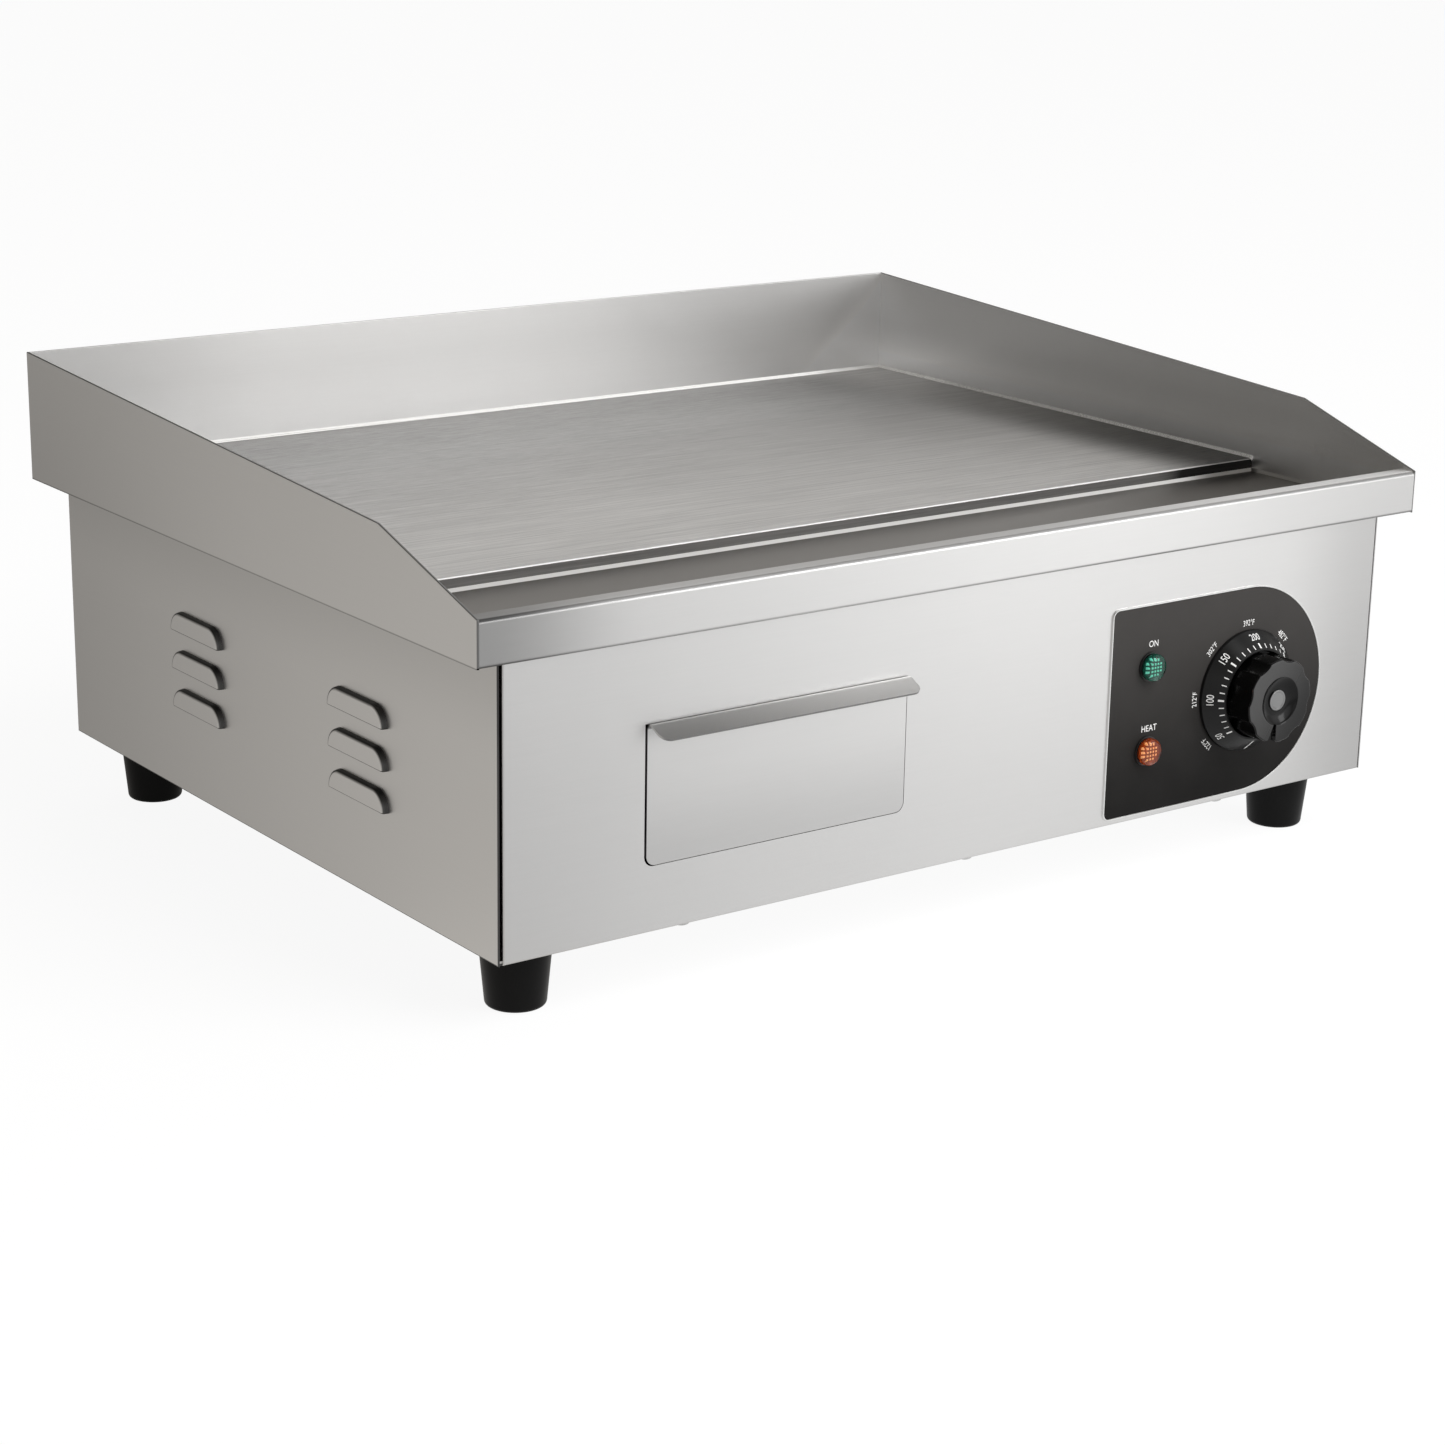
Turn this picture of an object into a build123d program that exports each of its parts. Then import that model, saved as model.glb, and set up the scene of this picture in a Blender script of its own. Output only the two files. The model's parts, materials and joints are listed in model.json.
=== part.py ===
from build123d import *
import os

os.makedirs("parts", exist_ok=True)

# Countertop electric griddle. Millimetres: X runs right, Y runs back, Z runs up from the table.
# The origin is on the table, under the middle of the cooking tray.

# Overall sizes
TRAY_WIDTH = 550.0
TRAY_DEPTH = 430.0
TOTAL_HEIGHT = 231.0
CASE_WIDTH = 520.0
CASE_DEPTH = 412.0
CASE_TOP = 166.0
FOOT_HEIGHT = 32.0
TRAY_SHEET = 1.2
TRAY_SHEET_ROUND = 0.4
CASE_SHEET = 1.0
CASE_SHEET_ROUND = 0.8

# Cooking tray
PLATE_THICK = 8.0
PLATE_FRONT = -102.6
PLATE_EDGE_ROUND = 1.0
GUARD_BREAK_Y = -136.6
GUARD_BREAK_Z = 211.5
GUARD_END_ROUND = 0.8
LIP_TOP = 187.0
LIP_DEPTH = 10.0
LIP_TOP_REAR_ROUND = 1.2
LIP_TOP_FRONT_ROUND = 1.5
LIP_BOTTOM_ROUND = 1.0
LIP_RETURN_GAP = 1.0
PLATE_WELD_LEG = 1.5
TROUGH_WELD_LEG = 1.5
DRAIN_Y = -172.0
DRAIN_RADIUS = 14.0
SPOUT_WALL = 1.5
SPOUT_LENGTH = 32.0

# Casing
CORNER_GAPS = (1.8, 0.2)
TOP_FLANGE = 12.0
SIDE_BASE_FLANGE = 48.0
END_BASE_FLANGE = 18.0
END_FLANGE_HALF_WIDTH = 210.0
REAR_FLANGE_Z = (40.0, 160.0)
LOUVRE_WIDTH = 50.0
LOUVRE_HEIGHT = 10.0
LOUVRE_DEPTH = 3.0
LOUVRE_SLOPE = 9.0
LOUVRE_CORNER = 9.5
LOUVRE_ROUND = 1.6
LOUVRE_MOUTH_ROUND = 0.6
LOUVRE_COLUMNS = (-91.3, 63.4)
LOUVRE_BOTTOMS = (75.2, 94.5, 113.8)
REAR_LOUVRE_COLUMNS = (-140.0, 0.0)
BASE_SLOT = (50.0, 5.0)
BASE_SLOT_GRID = (80.0, 24.0, 3, 5)
BASE_SLOT_CENTRE = (60.0, 20.0)

# Fasteners
PANEL_SCREW_RADIUS = 1.9
PANEL_HEAD_RADIUS = 3.6
PANEL_HEAD_HEIGHT = 2.2
PANEL_HEAD_SLOPE = 25.0
SCREW_CLEARANCE = 0.1
BASE_SCREW_XS = (-162.0, 0.0, 162.0)
BASE_SCREW_YS = (-200.5, 196.0)
BASE_SCREW_LENGTH = 9.0
REAR_SCREW_X = 253.0
REAR_SCREW_ZS = (56.0, 144.0)
REAR_SCREW_LENGTH = 7.0

# Feet
FOOT_X = 232.0
FOOT_Y = 175.5
FOOT_BOTTOM_RADIUS = 13.6
FOOT_TOP_RADIUS = 16.6
FOOT_EDGE_ROUND = 1.6
FOOT_POCKET_RADIUS = 8.5
FOOT_POCKET_DEPTH = 18.0
FOOT_SCREW_RADIUS = 2.9
FOOT_SCREW_TIP = 42.0
FOOT_HEAD_RADIUS = 5.0
FOOT_HEAD_HEIGHT = 4.0
FOOT_WASHER_RADIUS = 7.5
FOOT_WASHER_THICK = 1.5
M6_ACROSS_FLATS = 10.0
M6_NUT_HEIGHT = 5.0
M6_BORE = 2.95

# Drip drawer
DRAWER_X = (-185.8, -42.2)
DRAWER_Z = (62.2, 126.6)
DRAWER_LEFT_GAP = 1.2
DRAWER_EDGE_GAP = 0.3
DRAWER_CORNER = 4.5
FLAP_REACH = 12.0
FLAP_DROP = 6.0
FLAP_BEND = 2.5
FLAP_RISE = 1.2
FLAP_CORNER = 5.0
TRAY_SIDE_GAP = 4.8
TRAY_Z = (66.0, 116.0)
TRAY_REAR = -20.0
TRAY_CORNER = 6.0
RAIL_LEDGE = 12.0
RAIL_PLAY = 0.5
RAIL_TOP = 84.0
RAIL_FOOT = 14.0
RAIL_Y = (-203.0, 10.0)
RAIL_SCREW_YS = (-160.0, -30.0)
RAIL_SCREW_LENGTH = 5.0

# Controls on the front panel
DIAL_X = 172.4
DIAL_Z = 87.2
OVERLAY_LEFT = 81.6
OVERLAY_RADIUS = 52.5
OVERLAY_CORNER = 4.0
OVERLAY_THICK = 0.6
OVERLAY_DIAL_HOLE = 19.0
BEZEL_RADIUS = 30.6
BEZEL_RIM = 1.6
BEZEL_TOP_RADIUS = 22.8
BEZEL_HEIGHT = 10.6
BEZEL_BORE = 21.7
KNOB_RADIUS = 21.0
KNOB_BASE = 3.4
KNOB_FRONT = 25.0
KNOB_SKIRT = 4.5
KNOB_LOBES = 8
KNOB_TURN = 12.0
KNOB_FLUTE_RADIUS = 11.0
KNOB_FLUTE_DEPTH = 1.3
KNOB_EDGE_ROUND = 0.8
KNOB_DISH_RADIUS = 11.7
KNOB_DISH_DEPTH = 2.4
KNOB_CAP_RADIUS = 5.2
KNOB_CAP_THICK = 0.8
POINTER_WIDTHS = (1.2, 5.2)
POINTER_DEPTH = 1.6
POINTER_OVERRUN = 1.0
SPINDLE_RADIUS = 3.0
SPINDLE_RUNNING_GAP = 0.05
SPINDLE_KNOB_GAP = 0.02
SPINDLE_REACH = (-14.0, 21.0)
LAMP_X = 107.5
LAMP_ZS = {"heat": 66.6, "power": 108.8}
LAMP_BARREL = 6.0
LAMP_FLANGE = (7.3, 1.0)
LAMP_LENS = (6.7, 2.4, 4.4)
LAMP_LENGTH = 26.0
LAMP_NUT = (9.0, 3.0)
LAMP_TAB = (4.8, 0.8, 7.0)

# Thermostat behind the dial
THERMOSTAT_PLATE = (52.0, 30.0, 1.5)
THERMOSTAT_BOX = (42.0, 36.0, 32.0)
THERMOSTAT_SCREW_SPREAD = 14.0
THERMOSTAT_TABS = (-12.0, 12.0)
BULB_X = 104.0
BULB_RADIUS = 3.0
BULB_Y = (0.0, 92.0)
BULB_CLIP_Y = 25.0
CAPILLARY_RADIUS = 1.0
CAPILLARY_BEND = 11.0
CAPILLARY_TURN_Y = -112.0
CAPILLARY_DROP = (-135.0, 140.0)
CAPILLARY_ENTRY_Z = 128.0

# Heating under the plate
ELEMENT_CENTRES = {"left": -178.0, "centre": 0.0, "right": 178.0}
ELEMENT_RADIUS = 4.0
ELEMENT_LEG_PITCH = 40.0
ELEMENT_BEND = 19.0
ELEMENT_Y = (-85.0, 190.0)
ELEMENT_FRONT_BEND_Y = -62.0
ELEMENT_PLATE_GAP = 0.2
PIN_RADIUS = 1.6
PIN_LENGTH = 13.0
BEAD_RADIUS = 4.0
BEAD_LENGTH = 6.0
CLAMP_YS = (-20.0, 70.0, 160.0)
CLAMP_XS = (-89.0, 89.0)
CLAMP_BAR = (480.0, 22.0, 2.5)
STUD_RADIUS = 2.9
STUD_LENGTH = 17.0
SHIELD_SHEET = 0.8
SHIELD_HALF_WIDTH = 247.0
SHIELD_Y = (-42.0, 198.0)
SHIELD_BOTTOM = 135.2
SHIELD_END_TOP = 150.0
SHIELD_LIP = 10.0
INSULATION_THICK = 12.0
CUTOUT_CENTRE = (-104.0, 25.0)
CUTOUT_RADIUS = 8.0
CUTOUT_HEIGHT = 10.0

# Mains inlet at the rear
GLAND_X = 190.0
GLAND_Z = 62.0
GLAND_THREAD = 9.8
GLAND_FLATS = 27.0
GLAND_HEX = 6.0
GLAND_NUT_FLATS = 24.0
GLAND_NUT_LENGTH = 19.0
GLAND_NUT_SHOULDER = 13.2
GLAND_NUT_TAPER = 12.0
GLAND_COLLAR = (9.0, 10.0)
GLAND_SLEEVE_BORE = 7.5
GLAND_SEAL_BORE = 5.0
GLAND_SEAL_LENGTH = 17.0
GLAND_MOUTH = 5.6
GLAND_INSIDE = 12.0
LOCKNUT_THICK = 3.5
BLOCK_SIZE = (48.0, 22.0, 20.0)
BLOCK_CENTRE = (176.0, 128.0)
BLOCK_PITCH = 15.0
BLOCK_SCREW = (3.0, 2.0)
EARTH_PLACE = (120.0, 150.0)
EARTH_STUD = (2.4, 16.0)
EARTH_FLATS = 8.0
EARTH_NUT_HEIGHT = 4.0
LEAD_RADIUS = 1.6
LEAD_BEND = 9.0
LEAD_TURN_Y = -120.0
LEAD_FLOOR_Y = 60.0
LEAD_RISE_Y = -136.0

# Places worked out from the sizes above
half_width = TRAY_WIDTH / 2
half_depth = TRAY_DEPTH / 2
tray_inside = half_width - TRAY_SHEET
plate_top = CASE_TOP + PLATE_THICK
plate_rear = half_depth - TRAY_SHEET
trough_top = CASE_TOP + TRAY_SHEET
lip_rear = -half_depth + LIP_DEPTH
case_side = CASE_WIDTH / 2
case_end = CASE_DEPTH / 2
wall_inside = case_side - CASE_SHEET
end_inside = case_end - CASE_SHEET
base_z = FOOT_HEIGHT + CASE_SHEET
base_top = base_z + CASE_SHEET
drawer_mid = sum(DRAWER_X) / 2
tray_x = (DRAWER_X[0] + TRAY_SIDE_GAP, DRAWER_X[1] - TRAY_SIDE_GAP)
foot_places = [(x, y) for x in (-FOOT_X, FOOT_X) for y in (-FOOT_Y, FOOT_Y)]
base_screw_places = [(x, y) for x in BASE_SCREW_XS for y in BASE_SCREW_YS]
rear_screw_places = [(x, z) for x in (-REAR_SCREW_X, REAR_SCREW_X) for z in REAR_SCREW_ZS]
rail_screw_places = [
    (x, y)
    for x in (DRAWER_X[0] - RAIL_FOOT / 2, DRAWER_X[1] + RAIL_FOOT / 2)
    for y in RAIL_SCREW_YS
]
thermostat_screw_places = [(-THERMOSTAT_SCREW_SPREAD, 0), (THERMOSTAT_SCREW_SPREAD, 0)]
clamp_places = [(x, y) for x in CLAMP_XS for y in CLAMP_YS]
element_z = CASE_TOP - ELEMENT_PLATE_GAP - ELEMENT_RADIUS
clamp_top = element_z - ELEMENT_RADIUS
clamp_bottom = clamp_top - CLAMP_BAR[2]
leg_offset = 1.5 * ELEMENT_LEG_PITCH
bulb_z = CASE_TOP - ELEMENT_PLATE_GAP - BULB_RADIUS
underside = Plane(origin=(0, 0, FOOT_HEIGHT), x_dir=(-1, 0, 0), z_dir=(0, 0, -1))
rear_face = Plane(origin=(0, case_end, 0), x_dir=(-1, 0, 0), z_dir=(0, 1, 0))
gland_face = Plane(origin=(GLAND_X, case_end, GLAND_Z), x_dir=(-1, 0, 0), z_dir=(0, 1, 0))
dial_face = Plane(origin=(DIAL_X, -case_end, DIAL_Z), x_dir=(1, 0, 0), z_dir=(0, -1, 0))
knob_across = Vector(1, 0, 0).rotate(Axis.Y, KNOB_TURN)
knob_face = Plane(dial_face.origin, x_dir=knob_across, z_dir=(0, -1, 0))
dial_axis = Axis((DIAL_X, -case_end, DIAL_Z), (0, -1, 0))


def save(builder, name):
    """Label a finished piece and write it as its own STEP file."""
    builder.part.label = name
    export_step(builder.part, f"parts/{name}.step")


def slab(low, high, mode=Mode.ADD):
    """A block from its lowest to its highest corner."""
    size = [b - a for a, b in zip(low, high)]
    middle = [(a + b) / 2 for a, b in zip(low, high)]
    with Locations(tuple(middle)):
        Box(*size, mode=mode)


def section_plane(x, z):
    """Plane through an axis square to the front panel: X is the radius, Y runs out of the panel."""
    return Plane(origin=(x, -case_end, z), x_dir=(1, 0, 0), z_dir=(0, 0, -1))


def pan_head_screws(face, places, length):
    """Screws whose heads stand on a plane at the given places, with shanks going in behind it."""
    for radius, reach, slope in ((PANEL_HEAD_RADIUS, PANEL_HEAD_HEIGHT, PANEL_HEAD_SLOPE),
                                 (PANEL_SCREW_RADIUS, -length, 0.0)):
        with BuildSketch(face) as outline:
            with Locations(*places):
                Circle(radius)
        extrude(outline.sketch, amount=reach, taper=slope)


def tube_along(points, radius, bend):
    """A round rod along straight runs joined by tangent arcs."""
    with BuildLine() as route:
        FilletPolyline(*points, radius=bend)
    with BuildSketch(Plane(origin=route.line @ 0, z_dir=route.line % 0)) as outline:
        Circle(radius)
    sweep(sections=outline.sketch, path=route.line)


# Cooking plate, with the weld chamfer on three sides and a rounded front edge
with BuildPart() as griddle_plate:
    slab((-tray_inside, PLATE_FRONT, CASE_TOP), (tray_inside, plate_rear, plate_top))
    walled_edges = griddle_plate.faces().sort_by(Axis.Z)[-1].edges().sort_by(Axis.Y)[1:]
    chamfer(walled_edges, PLATE_WELD_LEG)
    front_edge = griddle_plate.faces().sort_by(Axis.Z)[-1].edges().sort_by(Axis.Y)[0]
    fillet(front_edge, PLATE_EDGE_ROUND)
save(griddle_plate, "griddle_plate")

# Splash guards: two side sheets that slope down to the lip, and a level one at the back
with BuildPart() as left_guard:
    with BuildSketch(Plane.YZ.offset(-half_width)):
        with BuildLine():
            Polyline(
                (-half_depth, CASE_TOP),
                (half_depth, CASE_TOP),
                (half_depth, TOTAL_HEIGHT),
                (GUARD_BREAK_Y, GUARD_BREAK_Z),
                (-half_depth, LIP_TOP),
                close=True,
            )
        make_face()
    extrude(amount=TRAY_SHEET)
    fillet(left_guard.edges().filter_by(Axis.Z).group_by(Axis.Y)[0].sort_by(Axis.X)[0], GUARD_END_ROUND)
    guard_tops = left_guard.faces().filter_by(lambda face: face.normal_at().Z > 0.5)
    fillet(guard_tops.edges().filter_by(lambda edge: edge.length > LIP_DEPTH), TRAY_SHEET_ROUND)
save(left_guard, "left_guard")

with BuildPart() as right_guard:
    mirror(left_guard.part, about=Plane.YZ)
save(right_guard, "right_guard")

with BuildPart() as back_guard:
    slab((-tray_inside, plate_rear, CASE_TOP), (tray_inside, half_depth, TOTAL_HEIGHT))
    fillet(back_guard.faces().sort_by(Axis.Z)[-1].edges().filter_by(Axis.X), TRAY_SHEET_ROUND)
save(back_guard, "back_guard")

# Grease trough: the floor sheet with its drain hole
with BuildPart() as grease_trough:
    slab((-tray_inside, lip_rear, CASE_TOP), (tray_inside, PLATE_FRONT, trough_top))
    with Locations((drawer_mid, DRAIN_Y, trough_top)):
        Hole(DRAIN_RADIUS, depth=TRAY_SHEET)
save(grease_trough, "grease_trough")

# Front lip: one sheet folded up, forward, down and back under itself
with BuildPart() as front_lip:
    half_sheet = TRAY_SHEET / 2
    with BuildSketch(Plane.YZ.offset(-tray_inside)):
        with BuildLine():
            FilletPolyline(
                (lip_rear - half_sheet, CASE_TOP),
                (lip_rear - half_sheet, LIP_TOP - half_sheet),
                (-half_depth + half_sheet, LIP_TOP - half_sheet),
                (-half_depth + half_sheet, CASE_TOP + half_sheet),
                (lip_rear - TRAY_SHEET - LIP_RETURN_GAP, CASE_TOP + half_sheet),
                radius=[LIP_TOP_REAR_ROUND, LIP_TOP_FRONT_ROUND, LIP_BOTTOM_ROUND],
            )
        trace(line_width=TRAY_SHEET)
    extrude(amount=2 * tray_inside)
save(front_lip, "front_lip")

# Weld bead that seals the plate to the guards, lying in the plate's chamfer
with BuildPart() as plate_weld:
    bead_low = plate_top - PLATE_WELD_LEG
    slab((-tray_inside, PLATE_FRONT, bead_low), (tray_inside, plate_rear, plate_top + PLATE_WELD_LEG))
    for height, grow, slope in ((bead_low, 0.0, 45.0), (plate_top, -PLATE_WELD_LEG, -45.0)):
        with BuildSketch(Plane.XY.offset(height)):
            with Locations((0, plate_rear + grow)):
                Rectangle(2 * (tray_inside + grow), 2 * TRAY_DEPTH, align=(Align.CENTER, Align.MAX))
        extrude(amount=PLATE_WELD_LEG, taper=slope, mode=Mode.SUBTRACT)
save(plate_weld, "plate_weld")

# Weld bead round the trough floor
with BuildPart() as trough_weld:
    slab((-tray_inside, lip_rear, trough_top), (tray_inside, PLATE_FRONT, trough_top + TROUGH_WELD_LEG))
    with BuildSketch(Plane.XY.offset(trough_top)):
        with Locations((0, (lip_rear + PLATE_FRONT) / 2)):
            Rectangle(2 * (tray_inside - TROUGH_WELD_LEG), PLATE_FRONT - lip_rear - 2 * TROUGH_WELD_LEG)
    extrude(amount=TROUGH_WELD_LEG, taper=-45.0, mode=Mode.SUBTRACT)
save(trough_weld, "trough_weld")

# Drain spout under the trough, which drops the grease into the drawer
with BuildPart() as drain_spout:
    with BuildSketch(Plane.XY.offset(CASE_TOP)):
        with Locations((drawer_mid, DRAIN_Y)):
            Circle(DRAIN_RADIUS + SPOUT_WALL)
            Circle(DRAIN_RADIUS, mode=Mode.SUBTRACT)
    extrude(amount=-SPOUT_LENGTH)
save(drain_spout, "drain_spout")

# Ventilation louvre: a pressed hood, closed at the top and open at the bottom, and the space in it.
# Both are drawn on a wall whose outer face is at x = 0, with the opening's edge at z = 0.
with BuildPart() as louvre_hood:
    with BuildSketch(Plane.YZ):
        RectangleRounded(LOUVRE_WIDTH, 2 * LOUVRE_HEIGHT, LOUVRE_CORNER)
    extrude(amount=LOUVRE_DEPTH, taper=LOUVRE_SLOPE)
    fillet(louvre_hood.faces().sort_by(Axis.X)[-1].edges(), LOUVRE_ROUND)
    split(bisect_by=Plane.XY)
    fillet(louvre_hood.faces().sort_by(Axis.X)[-1].edges().sort_by(Axis.Z)[0], LOUVRE_MOUTH_ROUND)

with BuildPart() as louvre_space:
    inner_size = (LOUVRE_WIDTH - 2 * CASE_SHEET, 2 * (LOUVRE_HEIGHT - CASE_SHEET))
    with BuildSketch(Plane.YZ):
        RectangleRounded(*inner_size, LOUVRE_CORNER - CASE_SHEET)
    extrude(amount=LOUVRE_DEPTH - CASE_SHEET, taper=LOUVRE_SLOPE)
    with BuildSketch(Plane.YZ):
        RectangleRounded(*inner_size, LOUVRE_CORNER - CASE_SHEET)
    extrude(amount=-CASE_SHEET)
    split(bisect_by=Plane.XY)

# Side panels: a wall with two columns of louvres, folded in at the top, the rear and the bottom
with BuildPart() as right_side_panel:
    slab((wall_inside, -case_end, FOOT_HEIGHT), (case_side, case_end, CASE_TOP))
    fillet(right_side_panel.faces().sort_by(Axis.X)[-1].edges().sort_by(Axis.Z)[:-1], CASE_SHEET_ROUND)
    slab(
        (wall_inside - TOP_FLANGE, -end_inside + END_BASE_FLANGE, CASE_TOP - CASE_SHEET),
        (wall_inside, end_inside - END_BASE_FLANGE, CASE_TOP),
    )
    slab(
        (wall_inside - SIDE_BASE_FLANGE, -end_inside, FOOT_HEIGHT),
        (wall_inside, end_inside, base_z),
    )
    slab(
        (wall_inside - TOP_FLANGE, end_inside - CASE_SHEET, REAR_FLANGE_Z[0]),
        (wall_inside, end_inside, REAR_FLANGE_Z[1]),
    )
    with Locations(*[(case_side, y, z) for y in LOUVRE_COLUMNS for z in LOUVRE_BOTTOMS]):
        add(louvre_hood.part)
        add(louvre_space.part, mode=Mode.SUBTRACT)
    with Locations(*[(FOOT_X, y, base_z) for y in (-FOOT_Y, FOOT_Y)]):
        Hole(FOOT_SCREW_RADIUS + SCREW_CLEARANCE, depth=CASE_SHEET)
    with BuildSketch(Plane.XZ.offset(-end_inside)):
        with Locations(*[(REAR_SCREW_X, z) for z in REAR_SCREW_ZS]):
            Circle(PANEL_SCREW_RADIUS + SCREW_CLEARANCE)
    extrude(amount=CASE_SHEET, mode=Mode.SUBTRACT)
save(right_side_panel, "right_side_panel")

with BuildPart() as left_side_panel:
    mirror(right_side_panel.part, about=Plane.YZ)
save(left_side_panel, "left_side_panel")

# Front panel: drawer opening, dial and lamp holes, folded back at the top and the bottom.
# It is set close to the right wall, so its play shows as an open corner at the left.
with BuildPart() as front_panel:
    slab(
        (-wall_inside + CORNER_GAPS[0], -case_end, FOOT_HEIGHT),
        (wall_inside - CORNER_GAPS[1], -end_inside, CASE_TOP),
    )
    fillet(front_panel.faces().sort_by(Axis.Y)[0].edges().sort_by(Axis.Z)[:-1], CASE_SHEET_ROUND)
    slab(
        (-END_FLANGE_HALF_WIDTH, -end_inside, CASE_TOP - CASE_SHEET),
        (END_FLANGE_HALF_WIDTH, -end_inside + TOP_FLANGE, CASE_TOP),
    )
    slab(
        (-END_FLANGE_HALF_WIDTH, -end_inside, FOOT_HEIGHT),
        (END_FLANGE_HALF_WIDTH, -end_inside + END_BASE_FLANGE, base_z),
    )
    with BuildSketch(Plane.XZ.offset(case_end)) as front_openings:
        with Locations((drawer_mid, sum(DRAWER_Z) / 2)):
            Rectangle(DRAWER_X[1] - DRAWER_X[0], DRAWER_Z[1] - DRAWER_Z[0])
        fillet(front_openings.vertices().sort_by(Axis.Y)[:2], DRAWER_CORNER + DRAWER_EDGE_GAP)
        with Locations(*[(LAMP_X, z) for z in LAMP_ZS.values()]):
            Circle(LAMP_BARREL + SCREW_CLEARANCE)
        with Locations((DIAL_X, DIAL_Z)):
            Circle(2 * SPINDLE_RADIUS)
        with Locations(*[(DIAL_X + dx, DIAL_Z) for dx, _ in thermostat_screw_places]):
            Circle(PANEL_SCREW_RADIUS + SCREW_CLEARANCE)
    extrude(amount=-CASE_SHEET, mode=Mode.SUBTRACT)
    with Locations(*[(x, BASE_SCREW_YS[0], base_z) for x in BASE_SCREW_XS]):
        Hole(PANEL_SCREW_RADIUS + SCREW_CLEARANCE, depth=CASE_SHEET)
save(front_panel, "front_panel")

# Rear panel: the gland hole and louvres of the same pressing as the sides
with BuildPart() as rear_panel:
    slab((-wall_inside, end_inside, FOOT_HEIGHT), (wall_inside, case_end, CASE_TOP))
    fillet(rear_panel.faces().sort_by(Axis.Y)[-1].edges().sort_by(Axis.Z)[0], CASE_SHEET_ROUND)
    slab(
        (-END_FLANGE_HALF_WIDTH, end_inside - TOP_FLANGE, CASE_TOP - CASE_SHEET),
        (END_FLANGE_HALF_WIDTH, end_inside, CASE_TOP),
    )
    slab(
        (-END_FLANGE_HALF_WIDTH, end_inside - END_BASE_FLANGE, FOOT_HEIGHT),
        (END_FLANGE_HALF_WIDTH, end_inside, base_z),
    )
    rear_louvre_places = [
        Location((x, case_end, z), (0, 0, 90)) for x in REAR_LOUVRE_COLUMNS for z in LOUVRE_BOTTOMS
    ]
    with Locations(*rear_louvre_places):
        add(louvre_hood.part)
        add(louvre_space.part, mode=Mode.SUBTRACT)
    with BuildSketch(Plane.XZ.offset(-case_end)):
        with Locations((GLAND_X, GLAND_Z)):
            Circle(GLAND_THREAD + SCREW_CLEARANCE)
        with Locations(*rear_screw_places):
            Circle(PANEL_SCREW_RADIUS + SCREW_CLEARANCE)
    extrude(amount=CASE_SHEET, mode=Mode.SUBTRACT)
    with Locations(*[(x, BASE_SCREW_YS[1], base_z) for x in BASE_SCREW_XS]):
        Hole(PANEL_SCREW_RADIUS + SCREW_CLEARANCE, depth=CASE_SHEET)
save(rear_panel, "rear_panel")

# Base plate, lying on the folded flanges, with cooling slots
with BuildPart() as base_plate:
    slab(
        (-wall_inside, -end_inside, base_z),
        (wall_inside, end_inside - CASE_SHEET, base_top),
    )
    slot_x, slot_y, slot_columns, slot_rows = BASE_SLOT_GRID
    with BuildSketch(Plane.XY.offset(base_top)):
        with Locations(BASE_SLOT_CENTRE):
            with GridLocations(slot_x, slot_y, slot_columns, slot_rows):
                SlotOverall(*BASE_SLOT)
        with Locations(*foot_places):
            Circle(FOOT_SCREW_RADIUS + SCREW_CLEARANCE)
        with Locations(*base_screw_places):
            Circle(PANEL_SCREW_RADIUS + SCREW_CLEARANCE)
        with Locations(*rail_screw_places):
            Circle(PANEL_SCREW_RADIUS + SCREW_CLEARANCE)
        with Locations(EARTH_PLACE):
            Circle(EARTH_STUD[0] + SCREW_CLEARANCE)
    extrude(amount=-CASE_SHEET, mode=Mode.SUBTRACT)
save(base_plate, "base_plate")

# Screws that hold the base plate to the end panels, and the rear panel to the side panels
with BuildPart() as panel_screws:
    pan_head_screws(underside, base_screw_places, BASE_SCREW_LENGTH)
    pan_head_screws(rear_face, rear_screw_places, REAR_SCREW_LENGTH)
save(panel_screws, "panel_screws")

# Feet: tapered rubber, with a pocket below for the screw head
for end, foot_y in (("front", -FOOT_Y), ("rear", FOOT_Y)):
    for side, foot_x in (("left", -FOOT_X), ("right", FOOT_X)):
        with BuildPart() as foot:
            with BuildSketch(Plane((foot_x, foot_y, 0), x_dir=(1, 0, 0), z_dir=(0, -1, 0))):
                with BuildLine():
                    Polyline(
                        (FOOT_POCKET_RADIUS, 0),
                        (FOOT_BOTTOM_RADIUS, 0),
                        (FOOT_TOP_RADIUS, FOOT_HEIGHT),
                        (FOOT_SCREW_RADIUS + SCREW_CLEARANCE, FOOT_HEIGHT),
                        (FOOT_SCREW_RADIUS + SCREW_CLEARANCE, FOOT_POCKET_DEPTH),
                        (FOOT_POCKET_RADIUS, FOOT_POCKET_DEPTH),
                        close=True,
                    )
                make_face()
            revolve(axis=Axis((foot_x, foot_y, 0), (0, 0, 1)))
            bottom_rims = foot.edges().filter_by(GeomType.CIRCLE).group_by(Axis.Z)[0]
            fillet(bottom_rims.sort_by(SortBy.RADIUS)[-1], FOOT_EDGE_ROUND)
        save(foot, f"{end}_{side}_foot")

with BuildPart() as foot_washers:
    with BuildSketch(Plane.XY.offset(FOOT_POCKET_DEPTH)):
        with Locations(*foot_places):
            Circle(FOOT_WASHER_RADIUS)
            Circle(FOOT_SCREW_RADIUS + SCREW_CLEARANCE, mode=Mode.SUBTRACT)
    extrude(amount=-FOOT_WASHER_THICK)
save(foot_washers, "foot_washers")

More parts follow.
